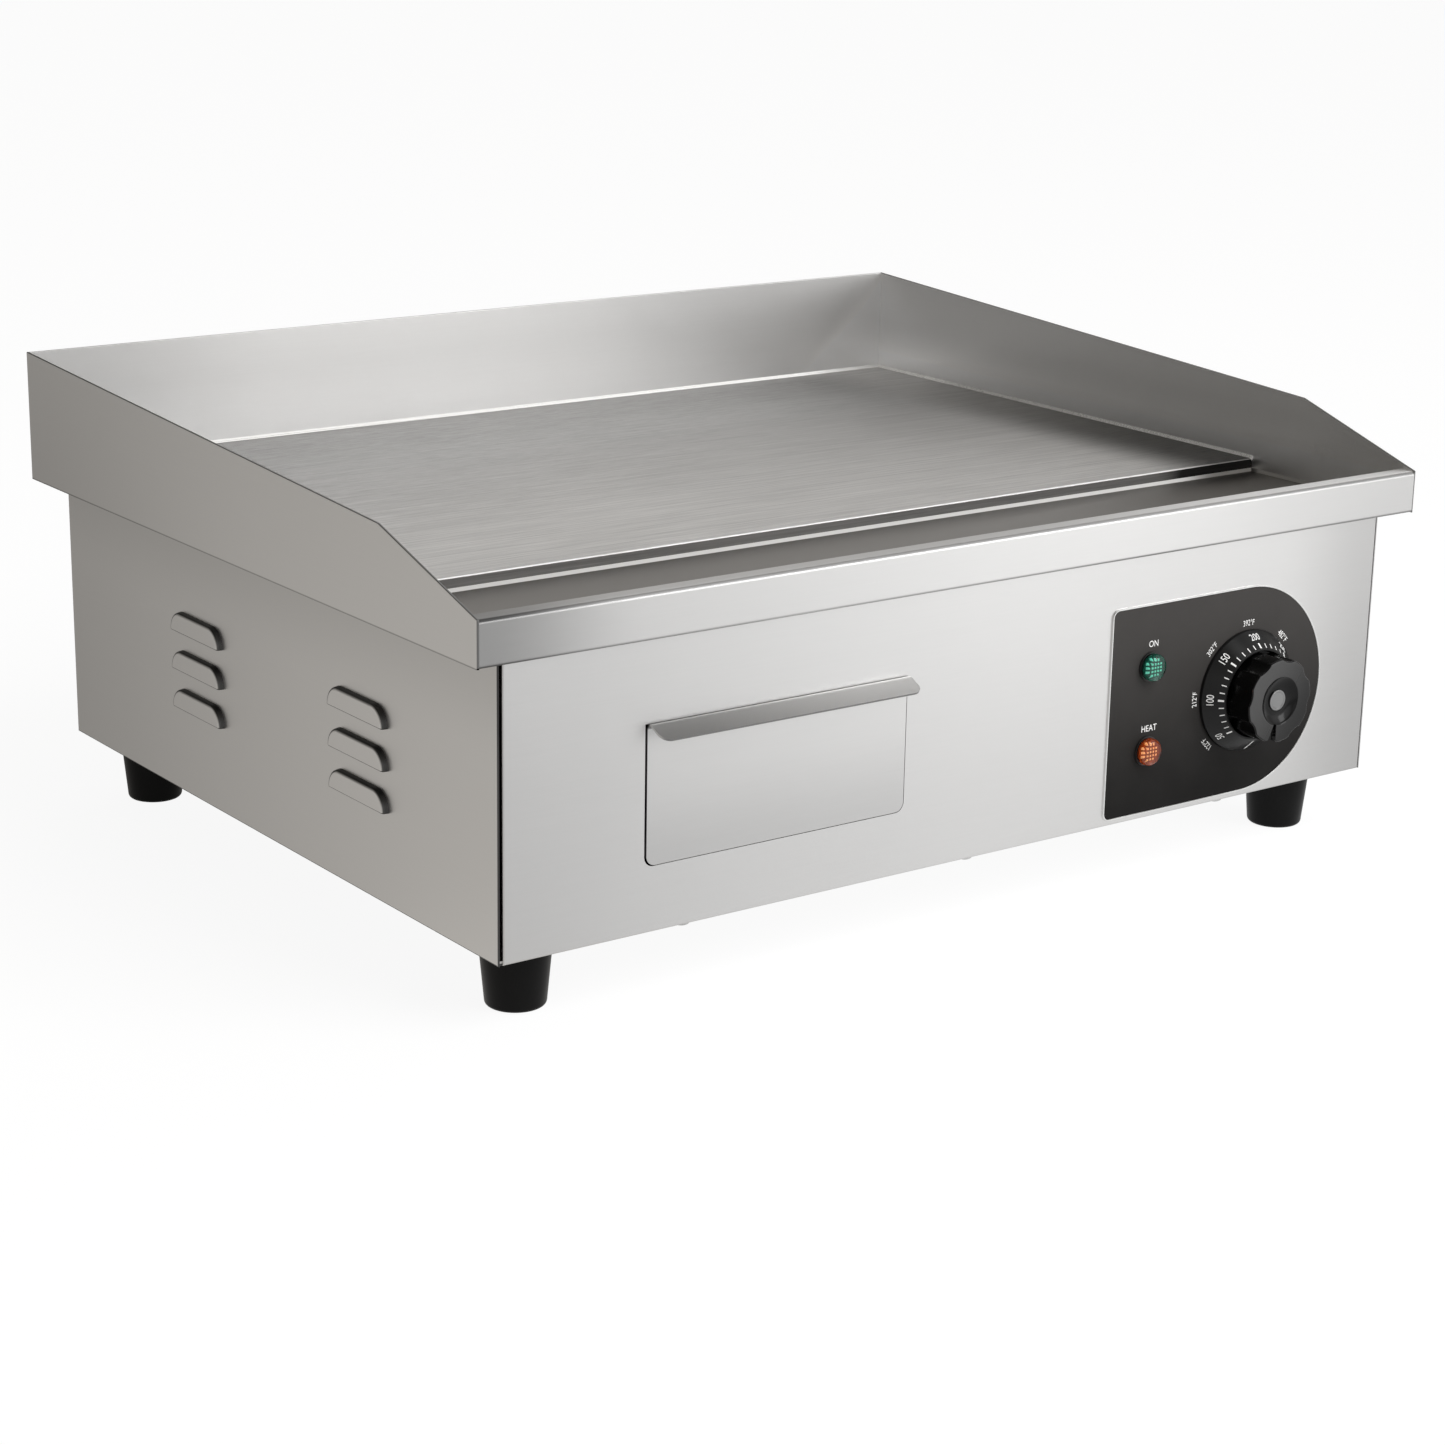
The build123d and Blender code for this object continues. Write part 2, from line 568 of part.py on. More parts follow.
with BuildPart() as foot_screws:
    head_top = FOOT_POCKET_DEPTH - FOOT_WASHER_THICK
    with BuildSketch(Plane.XY.offset(head_top)):
        with Locations(*foot_places):
            Circle(FOOT_HEAD_RADIUS)
    extrude(amount=-FOOT_HEAD_HEIGHT)
    with BuildSketch(Plane.XY.offset(head_top)):
        with Locations(*foot_places):
            Circle(FOOT_SCREW_RADIUS)
    extrude(amount=FOOT_SCREW_TIP - head_top)
save(foot_screws, "foot_screws")

with BuildPart() as foot_nuts:
    with BuildSketch(Plane.XY.offset(base_top)):
        with Locations(*foot_places):
            RegularPolygon(M6_ACROSS_FLATS / 2, 6, major_radius=False)
            Circle(M6_BORE, mode=Mode.SUBTRACT)
    extrude(amount=M6_NUT_HEIGHT)
save(foot_nuts, "foot_nuts")

# Drawer front: a flush panel whose top edge is folded out and down as the pull.
# It stands a little to the right in its opening, and the crown of the fold covers the opening's top edge.
drawer_left = DRAWER_X[0] + DRAWER_LEFT_GAP
drawer_right = DRAWER_X[1] - DRAWER_EDGE_GAP
with BuildPart() as drawer_front:
    sheet_mid = -case_end + CASE_SHEET / 2
    fold_z = DRAWER_Z[1] + FLAP_RISE
    with BuildSketch(Plane.YZ.offset(drawer_left)):
        with BuildLine():
            FilletPolyline(
                (sheet_mid, DRAWER_Z[0] + DRAWER_EDGE_GAP),
                (sheet_mid, fold_z),
                (-case_end - FLAP_REACH, fold_z - FLAP_DROP),
                radius=FLAP_BEND,
            )
        trace(line_width=CASE_SHEET)
    extrude(amount=drawer_right - drawer_left)
    sheet_edges = drawer_front.edges().filter_by(lambda edge: abs(edge.length - CASE_SHEET) < 0.01)
    fillet(sheet_edges.sort_by(Axis.Y)[:2], FLAP_CORNER)
    sheet_edges = drawer_front.edges().filter_by(lambda edge: abs(edge.length - CASE_SHEET) < 0.01)
    fillet(sheet_edges.sort_by(Axis.Z)[:2], DRAWER_CORNER)
save(drawer_front, "drawer_front")

# Drip tray: an open pan welded to the back of the drawer front
with BuildPart() as drip_tray:
    slab((tray_x[0], -end_inside, TRAY_Z[0]), (tray_x[1], TRAY_REAR, TRAY_Z[1]))
    fillet(drip_tray.edges().filter_by(Axis.Z), TRAY_CORNER)
    with BuildSketch(Plane.XY.offset(TRAY_Z[1])):
        offset(drip_tray.faces().sort_by(Axis.Z)[-1], amount=-CASE_SHEET)
    extrude(amount=-(TRAY_Z[1] - TRAY_Z[0] - CASE_SHEET), mode=Mode.SUBTRACT)
save(drip_tray, "drip_tray")

# Drawer rails: a web with a ledge under the tray and a foot on the base plate
with BuildPart() as left_drawer_rail:
    web = DRAWER_X[0]
    ledge_top = TRAY_Z[0] - RAIL_PLAY
    slab((web - CASE_SHEET, RAIL_Y[0], base_top), (web, RAIL_Y[1], RAIL_TOP))
    slab((web, RAIL_Y[0], ledge_top - CASE_SHEET), (web + RAIL_LEDGE, RAIL_Y[1], ledge_top))
    slab((web - RAIL_FOOT, RAIL_Y[0], base_top), (web, RAIL_Y[1], base_top + CASE_SHEET))
    with Locations(*[(web - RAIL_FOOT / 2, y, base_top + CASE_SHEET) for y in RAIL_SCREW_YS]):
        Hole(PANEL_SCREW_RADIUS + SCREW_CLEARANCE, depth=CASE_SHEET)
save(left_drawer_rail, "left_drawer_rail")

with BuildPart() as right_drawer_rail:
    mirror(left_drawer_rail.part, about=Plane.YZ.offset(drawer_mid))
save(right_drawer_rail, "right_drawer_rail")

with BuildPart() as rail_screws:
    pan_head_screws(Plane.XY.offset(base_top + CASE_SHEET), rail_screw_places, RAIL_SCREW_LENGTH)
save(rail_screws, "rail_screws")

# Control overlay: a thin black plate, square on the left and half round about the dial
with BuildPart() as control_overlay:
    overlay_top = DIAL_Z + OVERLAY_RADIUS
    overlay_bottom = DIAL_Z - OVERLAY_RADIUS
    with BuildSketch(Plane.XZ.offset(case_end)):
        with BuildLine():
            left_side = FilletPolyline(
                (DIAL_X, overlay_top),
                (OVERLAY_LEFT, overlay_top),
                (OVERLAY_LEFT, overlay_bottom),
                (DIAL_X, overlay_bottom),
                radius=OVERLAY_CORNER,
            )
            ThreePointArc(left_side @ 1, (DIAL_X + OVERLAY_RADIUS, DIAL_Z), left_side @ 0)
        make_face()
        with Locations((DIAL_X, DIAL_Z)):
            Circle(OVERLAY_DIAL_HOLE, mode=Mode.SUBTRACT)
        with Locations(*[(LAMP_X, z) for z in LAMP_ZS.values()]):
            Circle(LAMP_BARREL + SCREW_CLEARANCE, mode=Mode.SUBTRACT)
    extrude(amount=OVERLAY_THICK)
save(control_overlay, "control_overlay")

# Dial bezel: a fixed cone that carries the temperature scale
with BuildPart() as dial_bezel:
    with BuildSketch(section_plane(DIAL_X, DIAL_Z)):
        with BuildLine():
            Polyline(
                (BEZEL_BORE, OVERLAY_THICK),
                (BEZEL_RADIUS, OVERLAY_THICK),
                (BEZEL_RADIUS, OVERLAY_THICK + BEZEL_RIM),
                (BEZEL_TOP_RADIUS, BEZEL_HEIGHT),
                (BEZEL_BORE, BEZEL_HEIGHT),
                close=True,
            )
        make_face()
    revolve(axis=dial_axis)
save(dial_bezel, "dial_bezel")

# Knob: a round skirt in the bezel, a fluted grip, a dished face and a pointer groove,
# which stands a little past the off mark at six o'clock
with BuildPart() as knob:
    with BuildSketch(dial_face.offset(KNOB_BASE)):
        Circle(KNOB_RADIUS)
    extrude(amount=KNOB_SKIRT)
    with BuildSketch(knob_face.offset(KNOB_BASE + KNOB_SKIRT)):
        Circle(KNOB_RADIUS)
        flute_centre = KNOB_RADIUS + KNOB_FLUTE_RADIUS - KNOB_FLUTE_DEPTH
        with PolarLocations(flute_centre, KNOB_LOBES):
            Circle(KNOB_FLUTE_RADIUS, mode=Mode.SUBTRACT)
    extrude(amount=KNOB_FRONT - KNOB_BASE - KNOB_SKIRT)
    fillet(knob.faces().sort_by(Axis.Y)[0].edges(), KNOB_EDGE_ROUND)
    with BuildSketch(section_plane(DIAL_X, DIAL_Z)):
        with BuildLine():
            dish_floor = KNOB_FRONT - KNOB_DISH_DEPTH
            Line((0, dish_floor), (0, KNOB_FRONT))
            Line((0, KNOB_FRONT), (KNOB_DISH_RADIUS, KNOB_FRONT))
            floor = Line((0, dish_floor), (KNOB_CAP_RADIUS, dish_floor))
            TangentArc(floor @ 1, (KNOB_DISH_RADIUS, KNOB_FRONT), tangent=(1, 0))
        make_face()
    revolve(axis=dial_axis, mode=Mode.SUBTRACT)
    with BuildSketch(knob_face.offset(KNOB_FRONT)):
        narrow, wide = POINTER_WIDTHS
        pointer_end = -KNOB_RADIUS - POINTER_OVERRUN
        with BuildLine():
            Polyline(
                (-narrow / 2, -KNOB_DISH_RADIUS),
                (narrow / 2, -KNOB_DISH_RADIUS),
                (wide / 2, pointer_end),
                (-wide / 2, pointer_end),
                close=True,
            )
        make_face()
    extrude(amount=-POINTER_DEPTH, mode=Mode.SUBTRACT)
    with BuildSketch(dial_face.offset(KNOB_BASE)):
        Circle(SPINDLE_RADIUS + SPINDLE_KNOB_GAP)
    extrude(amount=SPINDLE_REACH[1] - KNOB_BASE, mode=Mode.SUBTRACT)
save(knob, "knob")

with BuildPart() as knob_cap:
    with BuildSketch(dial_face.offset(dish_floor)):
        Circle(KNOB_CAP_RADIUS)
    extrude(amount=KNOB_CAP_THICK)
    fillet(knob_cap.faces().sort_by(Axis.Y)[0].edges(), KNOB_CAP_THICK / 2)
save(knob_cap, "knob_cap")

with BuildPart() as thermostat_spindle:
    with BuildSketch(dial_face.offset(SPINDLE_REACH[0])):
        Circle(SPINDLE_RADIUS)
    extrude(amount=SPINDLE_REACH[1] - SPINDLE_REACH[0])
save(thermostat_spindle, "thermostat_spindle")

# Thermostat: a plate against the front panel, the switch box, and two terminal tabs behind it
with BuildPart() as thermostat_body:
    inside_face = dial_face.offset(-CASE_SHEET)
    plate_w, plate_h, plate_t = THERMOSTAT_PLATE
    box_w, box_h, box_d = THERMOSTAT_BOX
    with BuildSketch(inside_face):
        Rectangle(plate_w, plate_h)
    extrude(amount=-plate_t)
    with BuildSketch(inside_face.offset(-plate_t)):
        Rectangle(box_w, box_h)
    extrude(amount=-box_d)
    with BuildSketch(inside_face.offset(-plate_t - box_d)):
        with Locations(*[(dx, 0) for dx in THERMOSTAT_TABS]):
            Rectangle(LAMP_TAB[1], LAMP_TAB[0])
    extrude(amount=-LAMP_TAB[2])
    with BuildSketch(inside_face):
        Circle(SPINDLE_RADIUS + SPINDLE_RUNNING_GAP)
        with Locations(*thermostat_screw_places):
            Circle(PANEL_SCREW_RADIUS + SCREW_CLEARANCE)
    extrude(amount=-(plate_t + box_d / 2), mode=Mode.SUBTRACT)
save(thermostat_body, "thermostat_body")

with BuildPart() as thermostat_screws:
    pan_head_screws(dial_face, thermostat_screw_places, REAR_SCREW_LENGTH)
save(thermostat_screws, "thermostat_screws")

# Thermostat bulb and its capillary, from under the plate to the top of the switch box
with BuildPart() as thermostat_bulb:
    box_top = DIAL_Z + THERMOSTAT_BOX[1] / 2
    box_mid_y = -end_inside + THERMOSTAT_PLATE[2] + THERMOSTAT_BOX[2] / 2
    with BuildSketch(Plane.XZ.offset(-BULB_Y[1])):
        with Locations((BULB_X, bulb_z)):
            Circle(BULB_RADIUS)
    extrude(amount=BULB_Y[1] - BULB_Y[0])
    tube_along(
        [
            (BULB_X, BULB_Y[0], bulb_z),
            (BULB_X, CAPILLARY_TURN_Y, bulb_z),
            (DIAL_X, *CAPILLARY_DROP),
            (DIAL_X, box_mid_y, CAPILLARY_ENTRY_Z),
            (DIAL_X, box_mid_y, box_top),
        ],
        CAPILLARY_RADIUS,
        CAPILLARY_BEND,
    )
save(thermostat_bulb, "thermostat_bulb")

# Clip that holds the bulb against the plate
with BuildPart() as bulb_clip:
    clip_gap = BULB_RADIUS + CASE_SHEET / 2 + SCREW_CLEARANCE
    clip_z = CASE_TOP - CASE_SHEET / 2
    with BuildSketch(Plane.XZ.offset(-BULB_CLIP_Y)):
        with BuildLine():
            Polyline(
                (BULB_X - 2 * clip_gap, clip_z),
                (BULB_X - clip_gap, clip_z),
                (BULB_X - clip_gap, bulb_z - clip_gap),
                (BULB_X + clip_gap, bulb_z - clip_gap),
                (BULB_X + clip_gap, clip_z),
                (BULB_X + 2 * clip_gap, clip_z),
            )
        trace(line_width=CASE_SHEET)
    extrude(amount=2 * clip_gap)
save(bulb_clip, "bulb_clip")

# Indicator lamps: lens, body with flange and tabs, and a ring nut behind the panel
for use, lamp_z in LAMP_ZS.items():
    lamp_face = Plane(origin=(LAMP_X, -case_end, lamp_z), x_dir=(1, 0, 0), z_dir=(0, -1, 0))
    flange_radius, flange_thick = LAMP_FLANGE
    flange_front = OVERLAY_THICK + flange_thick
    with BuildPart() as lamp_body:
        with BuildSketch(lamp_face.offset(OVERLAY_THICK)):
            Circle(flange_radius)
        extrude(amount=flange_thick)
        with BuildSketch(lamp_face.offset(OVERLAY_THICK)):
            Circle(LAMP_BARREL)
        extrude(amount=-LAMP_LENGTH)
        with BuildSketch(lamp_face.offset(OVERLAY_THICK - LAMP_LENGTH)):
            with Locations((0, -LAMP_BARREL / 2), (0, LAMP_BARREL / 2)):
                Rectangle(LAMP_TAB[0], LAMP_TAB[1])
        extrude(amount=-LAMP_TAB[2])
    save(lamp_body, f"{use}_lamp_body")

    with BuildPart() as lamp_lens:
        lens_radius, lens_round, lens_height = LAMP_LENS
        with BuildSketch(lamp_face.offset(flange_front)):
            Circle(lens_radius)
        extrude(amount=lens_height)
        fillet(lamp_lens.faces().sort_by(Axis.Y)[0].edges(), lens_round)
    save(lamp_lens, f"{use}_lamp_lens")

with BuildPart() as lamp_nuts:
    with BuildSketch(Plane.XZ.offset(end_inside)):
        with Locations(*[(LAMP_X, z) for z in LAMP_ZS.values()]):
            Circle(LAMP_NUT[0])
            Circle(LAMP_BARREL + SCREW_CLEARANCE, mode=Mode.SUBTRACT)
    extrude(amount=-LAMP_NUT[1])
save(lamp_nuts, "lamp_nuts")

# Tubular heating elements: four legs each, bent in one plane, with a cold pin at each end
element_offsets = [-leg_offset, -ELEMENT_LEG_PITCH / 2, ELEMENT_LEG_PITCH / 2, leg_offset]
pin_places = [(x + dx, element_z) for x in ELEMENT_CENTRES.values() for dx in (-leg_offset, leg_offset)]
for side, element_x in ELEMENT_CENTRES.items():
    legs = [element_x + dx for dx in element_offsets]
    with BuildPart() as element:
        tube_along(
            [
                (legs[0], ELEMENT_Y[0], element_z),
                (legs[0], ELEMENT_Y[1], element_z),
                (legs[1], ELEMENT_Y[1], element_z),
                (legs[1], ELEMENT_FRONT_BEND_Y, element_z),
                (legs[2], ELEMENT_FRONT_BEND_Y, element_z),
                (legs[2], ELEMENT_Y[1], element_z),
                (legs[3], ELEMENT_Y[1], element_z),
                (legs[3], ELEMENT_Y[0], element_z),
            ],
            ELEMENT_RADIUS,
            ELEMENT_BEND,
        )
        with BuildSketch(Plane.XZ.offset(-ELEMENT_Y[0])):
            with Locations((legs[0], element_z), (legs[3], element_z)):
                Circle(PIN_RADIUS)
        extrude(amount=PIN_LENGTH)
    save(element, f"{side}_heating_element")

with BuildPart() as element_insulators:
    with BuildSketch(Plane.XZ.offset(-ELEMENT_Y[0])):
        with Locations(*pin_places):
            Circle(BEAD_RADIUS)
            Circle(PIN_RADIUS + SCREW_CLEARANCE, mode=Mode.SUBTRACT)
    extrude(amount=BEAD_LENGTH)
save(element_insulators, "element_insulators")

# Bars that clamp the elements to the plate, on studs welded under it
with BuildPart() as clamp_bars:
    with BuildSketch(Plane.XY.offset(clamp_top)):
        with Locations(*[(0, y) for y in CLAMP_YS]):
            Rectangle(CLAMP_BAR[0], CLAMP_BAR[1])
        with Locations(*clamp_places):
            Circle(STUD_RADIUS + SCREW_CLEARANCE, mode=Mode.SUBTRACT)
    extrude(amount=-CLAMP_BAR[2])
save(clamp_bars, "clamp_bars")

with BuildPart() as clamp_studs:
    with BuildSketch(Plane.XY.offset(CASE_TOP)):
        with Locations(*clamp_places):
            Circle(STUD_RADIUS)
    extrude(amount=-STUD_LENGTH)
save(clamp_studs, "clamp_studs")

with BuildPart() as clamp_nuts:
    with BuildSketch(Plane.XY.offset(clamp_bottom)):
        with Locations(*clamp_places):
            RegularPolygon(M6_ACROSS_FLATS / 2, 6, major_radius=False)
            Circle(M6_BORE, mode=Mode.SUBTRACT)
    extrude(amount=-M6_NUT_HEIGHT)
save(clamp_nuts, "clamp_nuts")

# Heat shield: a pan under the elements, hung by its lips under the side panels' top flanges
with BuildPart() as heat_shield:
    shield_floor = SHIELD_BOTTOM + SHIELD_SHEET
    lip_top = CASE_TOP - CASE_SHEET
    slab(
        (-SHIELD_HALF_WIDTH, SHIELD_Y[0], SHIELD_BOTTOM),
        (SHIELD_HALF_WIDTH, SHIELD_Y[1], shield_floor),
    )
    for end_low, end_high in (
        (SHIELD_Y[0], SHIELD_Y[0] + SHIELD_SHEET),
        (SHIELD_Y[1] - SHIELD_SHEET, SHIELD_Y[1]),
    ):
        slab(
            (-SHIELD_HALF_WIDTH, end_low, SHIELD_BOTTOM),
            (SHIELD_HALF_WIDTH, end_high, SHIELD_END_TOP),
        )
    for sign in (-1, 1):
        outer = sign * SHIELD_HALF_WIDTH
        inner = outer - sign * SHIELD_SHEET
        tip = outer + sign * SHIELD_LIP
        slab(
            (min(inner, outer), SHIELD_Y[0], SHIELD_BOTTOM),
            (max(inner, outer), SHIELD_Y[1], lip_top),
        )
        slab(
            (min(outer, tip), SHIELD_Y[0], lip_top - SHIELD_SHEET),
            (max(outer, tip), SHIELD_Y[1], lip_top),
        )
save(heat_shield, "heat_shield")

with BuildPart() as insulation_blanket:
    slab(
        (-SHIELD_HALF_WIDTH + SHIELD_SHEET, SHIELD_Y[0] + SHIELD_SHEET, shield_floor),
        (SHIELD_HALF_WIDTH - SHIELD_SHEET, SHIELD_Y[1] - SHIELD_SHEET, shield_floor + INSULATION_THICK),
    )
save(insulation_blanket, "insulation_blanket")

# Overheat cut-out: a disc switch pressed against the plate, with two tabs below
with BuildPart() as overheat_cutout:
    with BuildSketch(Plane.XY.offset(CASE_TOP)):
        with Locations(CUTOUT_CENTRE):
            Circle(CUTOUT_RADIUS)
    extrude(amount=-CUTOUT_HEIGHT)
    with BuildSketch(Plane.XY.offset(CASE_TOP - CUTOUT_HEIGHT)):
        with Locations(CUTOUT_CENTRE):
            with GridLocations(CUTOUT_RADIUS, 0, 2, 1):
                Rectangle(LAMP_TAB[1], LAMP_TAB[0])
    extrude(amount=-LAMP_TAB[2])
save(overheat_cutout, "overheat_cutout")

# Cable gland: body through the rear panel, rubber seal, clamping nut outside and locknut inside
with BuildPart() as gland_body:
    with BuildSketch(gland_face):
        RegularPolygon(GLAND_FLATS / 2, 6, major_radius=False)
    extrude(amount=GLAND_HEX)
    with BuildSketch(gland_face):
        Circle(GLAND_THREAD)
    extrude(amount=-GLAND_INSIDE)
    with BuildSketch(gland_face.offset(GLAND_HEX)):
        Circle(GLAND_COLLAR[0])
    extrude(amount=GLAND_COLLAR[1])
    with BuildSketch(gland_face.offset(-GLAND_INSIDE)):
        Circle(GLAND_SLEEVE_BORE)
    extrude(amount=GLAND_INSIDE + GLAND_HEX + GLAND_COLLAR[1], mode=Mode.SUBTRACT)
save(gland_body, "gland_body")

collar_end = GLAND_HEX + GLAND_COLLAR[1]
with BuildPart() as gland_seal:
    with BuildSketch(gland_face.offset(collar_end)):
        Circle(GLAND_SLEEVE_BORE)
        Circle(GLAND_SEAL_BORE, mode=Mode.SUBTRACT)
    extrude(amount=-GLAND_SEAL_LENGTH)
save(gland_seal, "gland_seal")

with BuildPart() as gland_nut:
    with BuildSketch(gland_face.offset(GLAND_HEX)):
        RegularPolygon(GLAND_NUT_FLATS / 2, 6, major_radius=False)
    extrude(amount=GLAND_NUT_LENGTH)
    with BuildSketch(gland_face.offset(GLAND_HEX)):
        Circle(GLAND_NUT_SHOULDER)
    extrude(amount=GLAND_NUT_LENGTH, taper=GLAND_NUT_TAPER, mode=Mode.INTERSECT)
    with BuildSketch(gland_face.offset(GLAND_HEX)):
        Circle(GLAND_COLLAR[0] + SPINDLE_RUNNING_GAP)
    extrude(amount=GLAND_COLLAR[1], mode=Mode.SUBTRACT)
    with BuildSketch(gland_face.offset(GLAND_HEX)):
        Circle(GLAND_MOUTH)
    extrude(amount=GLAND_NUT_LENGTH, mode=Mode.SUBTRACT)
save(gland_nut, "gland_nut")

with BuildPart() as gland_locknut:
    with BuildSketch(gland_face.offset(-CASE_SHEET)):
        RegularPolygon(GLAND_FLATS / 2, 6, major_radius=False)
        Circle(GLAND_THREAD + SPINDLE_RUNNING_GAP, mode=Mode.SUBTRACT)
    extrude(amount=-LOCKNUT_THICK)
save(gland_locknut, "gland_locknut")

# Terminal block on the base plate, with one clamp screw for each pole
block_poles = [(BLOCK_CENTRE[0] + step * BLOCK_PITCH, BLOCK_CENTRE[1]) for step in (-1, 0, 1)]
block_top = base_top + BLOCK_SIZE[2]
with BuildPart() as terminal_block:
    with BuildSketch(Plane.XY.offset(base_top)):
        with Locations(BLOCK_CENTRE):
            Rectangle(BLOCK_SIZE[0], BLOCK_SIZE[1])
    extrude(amount=BLOCK_SIZE[2])
    fillet(terminal_block.edges().filter_by(Axis.Z), BLOCK_SCREW[1])
    with Locations(*[(x, y, block_top) for x, y in block_poles]):
        Hole(BLOCK_SCREW[0] + SCREW_CLEARANCE, depth=BLOCK_SIZE[2] / 2)
save(terminal_block, "terminal_block")

with BuildPart() as terminal_screws:
    with BuildSketch(Plane.XY.offset(base_top + BLOCK_SIZE[2] / 2)):
        with Locations(*block_poles):
            Circle(BLOCK_SCREW[0])
    extrude(amount=BLOCK_SIZE[2] / 2 - BLOCK_SCREW[1])
save(terminal_screws, "terminal_screws")

# Earth terminal: a stud through the base plate and its nut
with BuildPart() as earth_terminal:
    with BuildSketch(Plane.XY.offset(base_z)):
        with Locations(EARTH_PLACE):
            Circle(EARTH_STUD[0])
    extrude(amount=EARTH_STUD[1])
    with BuildSketch(Plane.XY.offset(base_top)):
        with Locations(EARTH_PLACE):
            RegularPolygon(EARTH_FLATS / 2, 6, major_radius=False)
            Circle(EARTH_STUD[0] + SPINDLE_RUNNING_GAP, mode=Mode.SUBTRACT)
    extrude(amount=EARTH_NUT_HEIGHT)
save(earth_terminal, "earth_terminal")

# Leads inside the casing: supply to the thermostat, thermostat to an element, supply to a lamp
tab_y = -end_inside + THERMOSTAT_PLATE[2] + THERMOSTAT_BOX[2] + LAMP_TAB[2]
block_front = BLOCK_CENTRE[1] - BLOCK_SIZE[1] / 2
lead_z = base_top + BLOCK_SIZE[2] / 4
lamp_tab_y = -case_end - OVERLAY_THICK + LAMP_LENGTH + LAMP_TAB[2]
pin_y = ELEMENT_Y[0] - PIN_LENGTH
right_pin_x = ELEMENT_CENTRES["right"] - leg_offset
lead_routes = [
    [
        (DIAL_X + THERMOSTAT_TABS[1], tab_y, DIAL_Z),
        (DIAL_X + THERMOSTAT_TABS[1], LEAD_TURN_Y, DIAL_Z),
        (block_poles[2][0], LEAD_FLOOR_Y, lead_z),
        (block_poles[2][0], block_front, lead_z),
    ],
    [
        (DIAL_X + THERMOSTAT_TABS[0], tab_y, DIAL_Z),
        (DIAL_X + THERMOSTAT_TABS[0], LEAD_RISE_Y, DIAL_Z),
        (right_pin_x, LEAD_RISE_Y, element_z),
        (right_pin_x, pin_y, element_z),
    ],
    [
        (LAMP_X, lamp_tab_y, LAMP_ZS["heat"] - LAMP_BARREL / 2),
        (LAMP_X, LEAD_TURN_Y, LAMP_ZS["heat"] - LAMP_BARREL / 2),
        (block_poles[0][0], LEAD_FLOOR_Y, lead_z),
        (block_poles[0][0], block_front, lead_z),
    ],
]
with BuildPart() as internal_leads:
    for route in lead_routes:
        tube_along(route, LEAD_RADIUS, LEAD_BEND)
save(internal_leads, "internal_leads")
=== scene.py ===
import json
import math

import bmesh
import bpy
import numpy as np
from bpy.props import FloatProperty, FloatVectorProperty, IntProperty, PointerProperty
from mathutils import Matrix, Vector


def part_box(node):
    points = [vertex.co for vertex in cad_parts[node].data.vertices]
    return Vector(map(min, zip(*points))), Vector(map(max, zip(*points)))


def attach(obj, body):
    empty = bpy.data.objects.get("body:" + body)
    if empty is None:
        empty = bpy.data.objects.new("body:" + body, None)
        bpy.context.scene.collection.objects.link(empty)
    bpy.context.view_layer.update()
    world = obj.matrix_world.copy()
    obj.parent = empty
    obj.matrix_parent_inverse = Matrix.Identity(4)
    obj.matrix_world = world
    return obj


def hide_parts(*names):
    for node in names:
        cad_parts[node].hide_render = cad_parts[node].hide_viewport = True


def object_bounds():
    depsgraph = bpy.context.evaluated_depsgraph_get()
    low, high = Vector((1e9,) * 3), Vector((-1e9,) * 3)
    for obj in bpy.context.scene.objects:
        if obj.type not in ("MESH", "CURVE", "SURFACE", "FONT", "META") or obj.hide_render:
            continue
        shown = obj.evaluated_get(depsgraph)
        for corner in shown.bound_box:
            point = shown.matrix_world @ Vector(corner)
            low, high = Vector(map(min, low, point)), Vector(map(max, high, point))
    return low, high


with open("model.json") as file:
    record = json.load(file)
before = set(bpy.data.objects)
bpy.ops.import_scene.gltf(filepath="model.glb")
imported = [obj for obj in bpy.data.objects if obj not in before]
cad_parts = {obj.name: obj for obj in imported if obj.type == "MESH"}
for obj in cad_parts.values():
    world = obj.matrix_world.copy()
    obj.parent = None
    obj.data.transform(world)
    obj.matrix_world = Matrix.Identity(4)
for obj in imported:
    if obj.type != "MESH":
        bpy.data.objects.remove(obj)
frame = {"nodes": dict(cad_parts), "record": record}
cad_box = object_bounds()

bl_info = {
    "name": "Countertop griddle",
    "version": (1, 0, 0),
    "blender": (4, 5, 0),
    "location": "3D View > Sidebar > Griddle",
    "description": "Gives a countertop electric griddle its steel, dial, lamps, feet and studio",
    "category": "Object",
}

MM = 0.001
nodes = frame["nodes"]
node_slots = {row["node"]: row["material_slot"] for row in frame["record"]["subparts"]}
fixed_body = "griddle"
knob_body = "dial_knob"

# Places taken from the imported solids, in metres
plate_low, plate_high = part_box("griddle_plate")
panel_low, panel_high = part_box("front_panel")
side_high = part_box("right_side_panel")[1]
guard_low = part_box("left_guard")[0]
drawer_low, drawer_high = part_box("drawer_front")
overlay_low, overlay_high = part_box("control_overlay")
bezel_low, bezel_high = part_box("dial_bezel")
knob_low, knob_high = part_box("knob")
dial_x = (bezel_low.x + bezel_high.x) / 2
dial_z = (bezel_low.z + bezel_high.z) / 2
knob_radius = (knob_high.x - knob_low.x) / 2
panel_y = panel_low.y
overlay_front = overlay_low.y

# Tones that a finish runs between, and the height of moulding grain in metres
tone_range = (0.25, 0.75)
grain_height = 0.04 * MM

# Directions on the griddle
RIGHT, REAR, UP = (1, 0, 0), (0, 1, 0), (0, 0, 1)
LEFT, FRONT, DOWN = (-1, 0, 0), (0, -1, 0), (0, 0, -1)

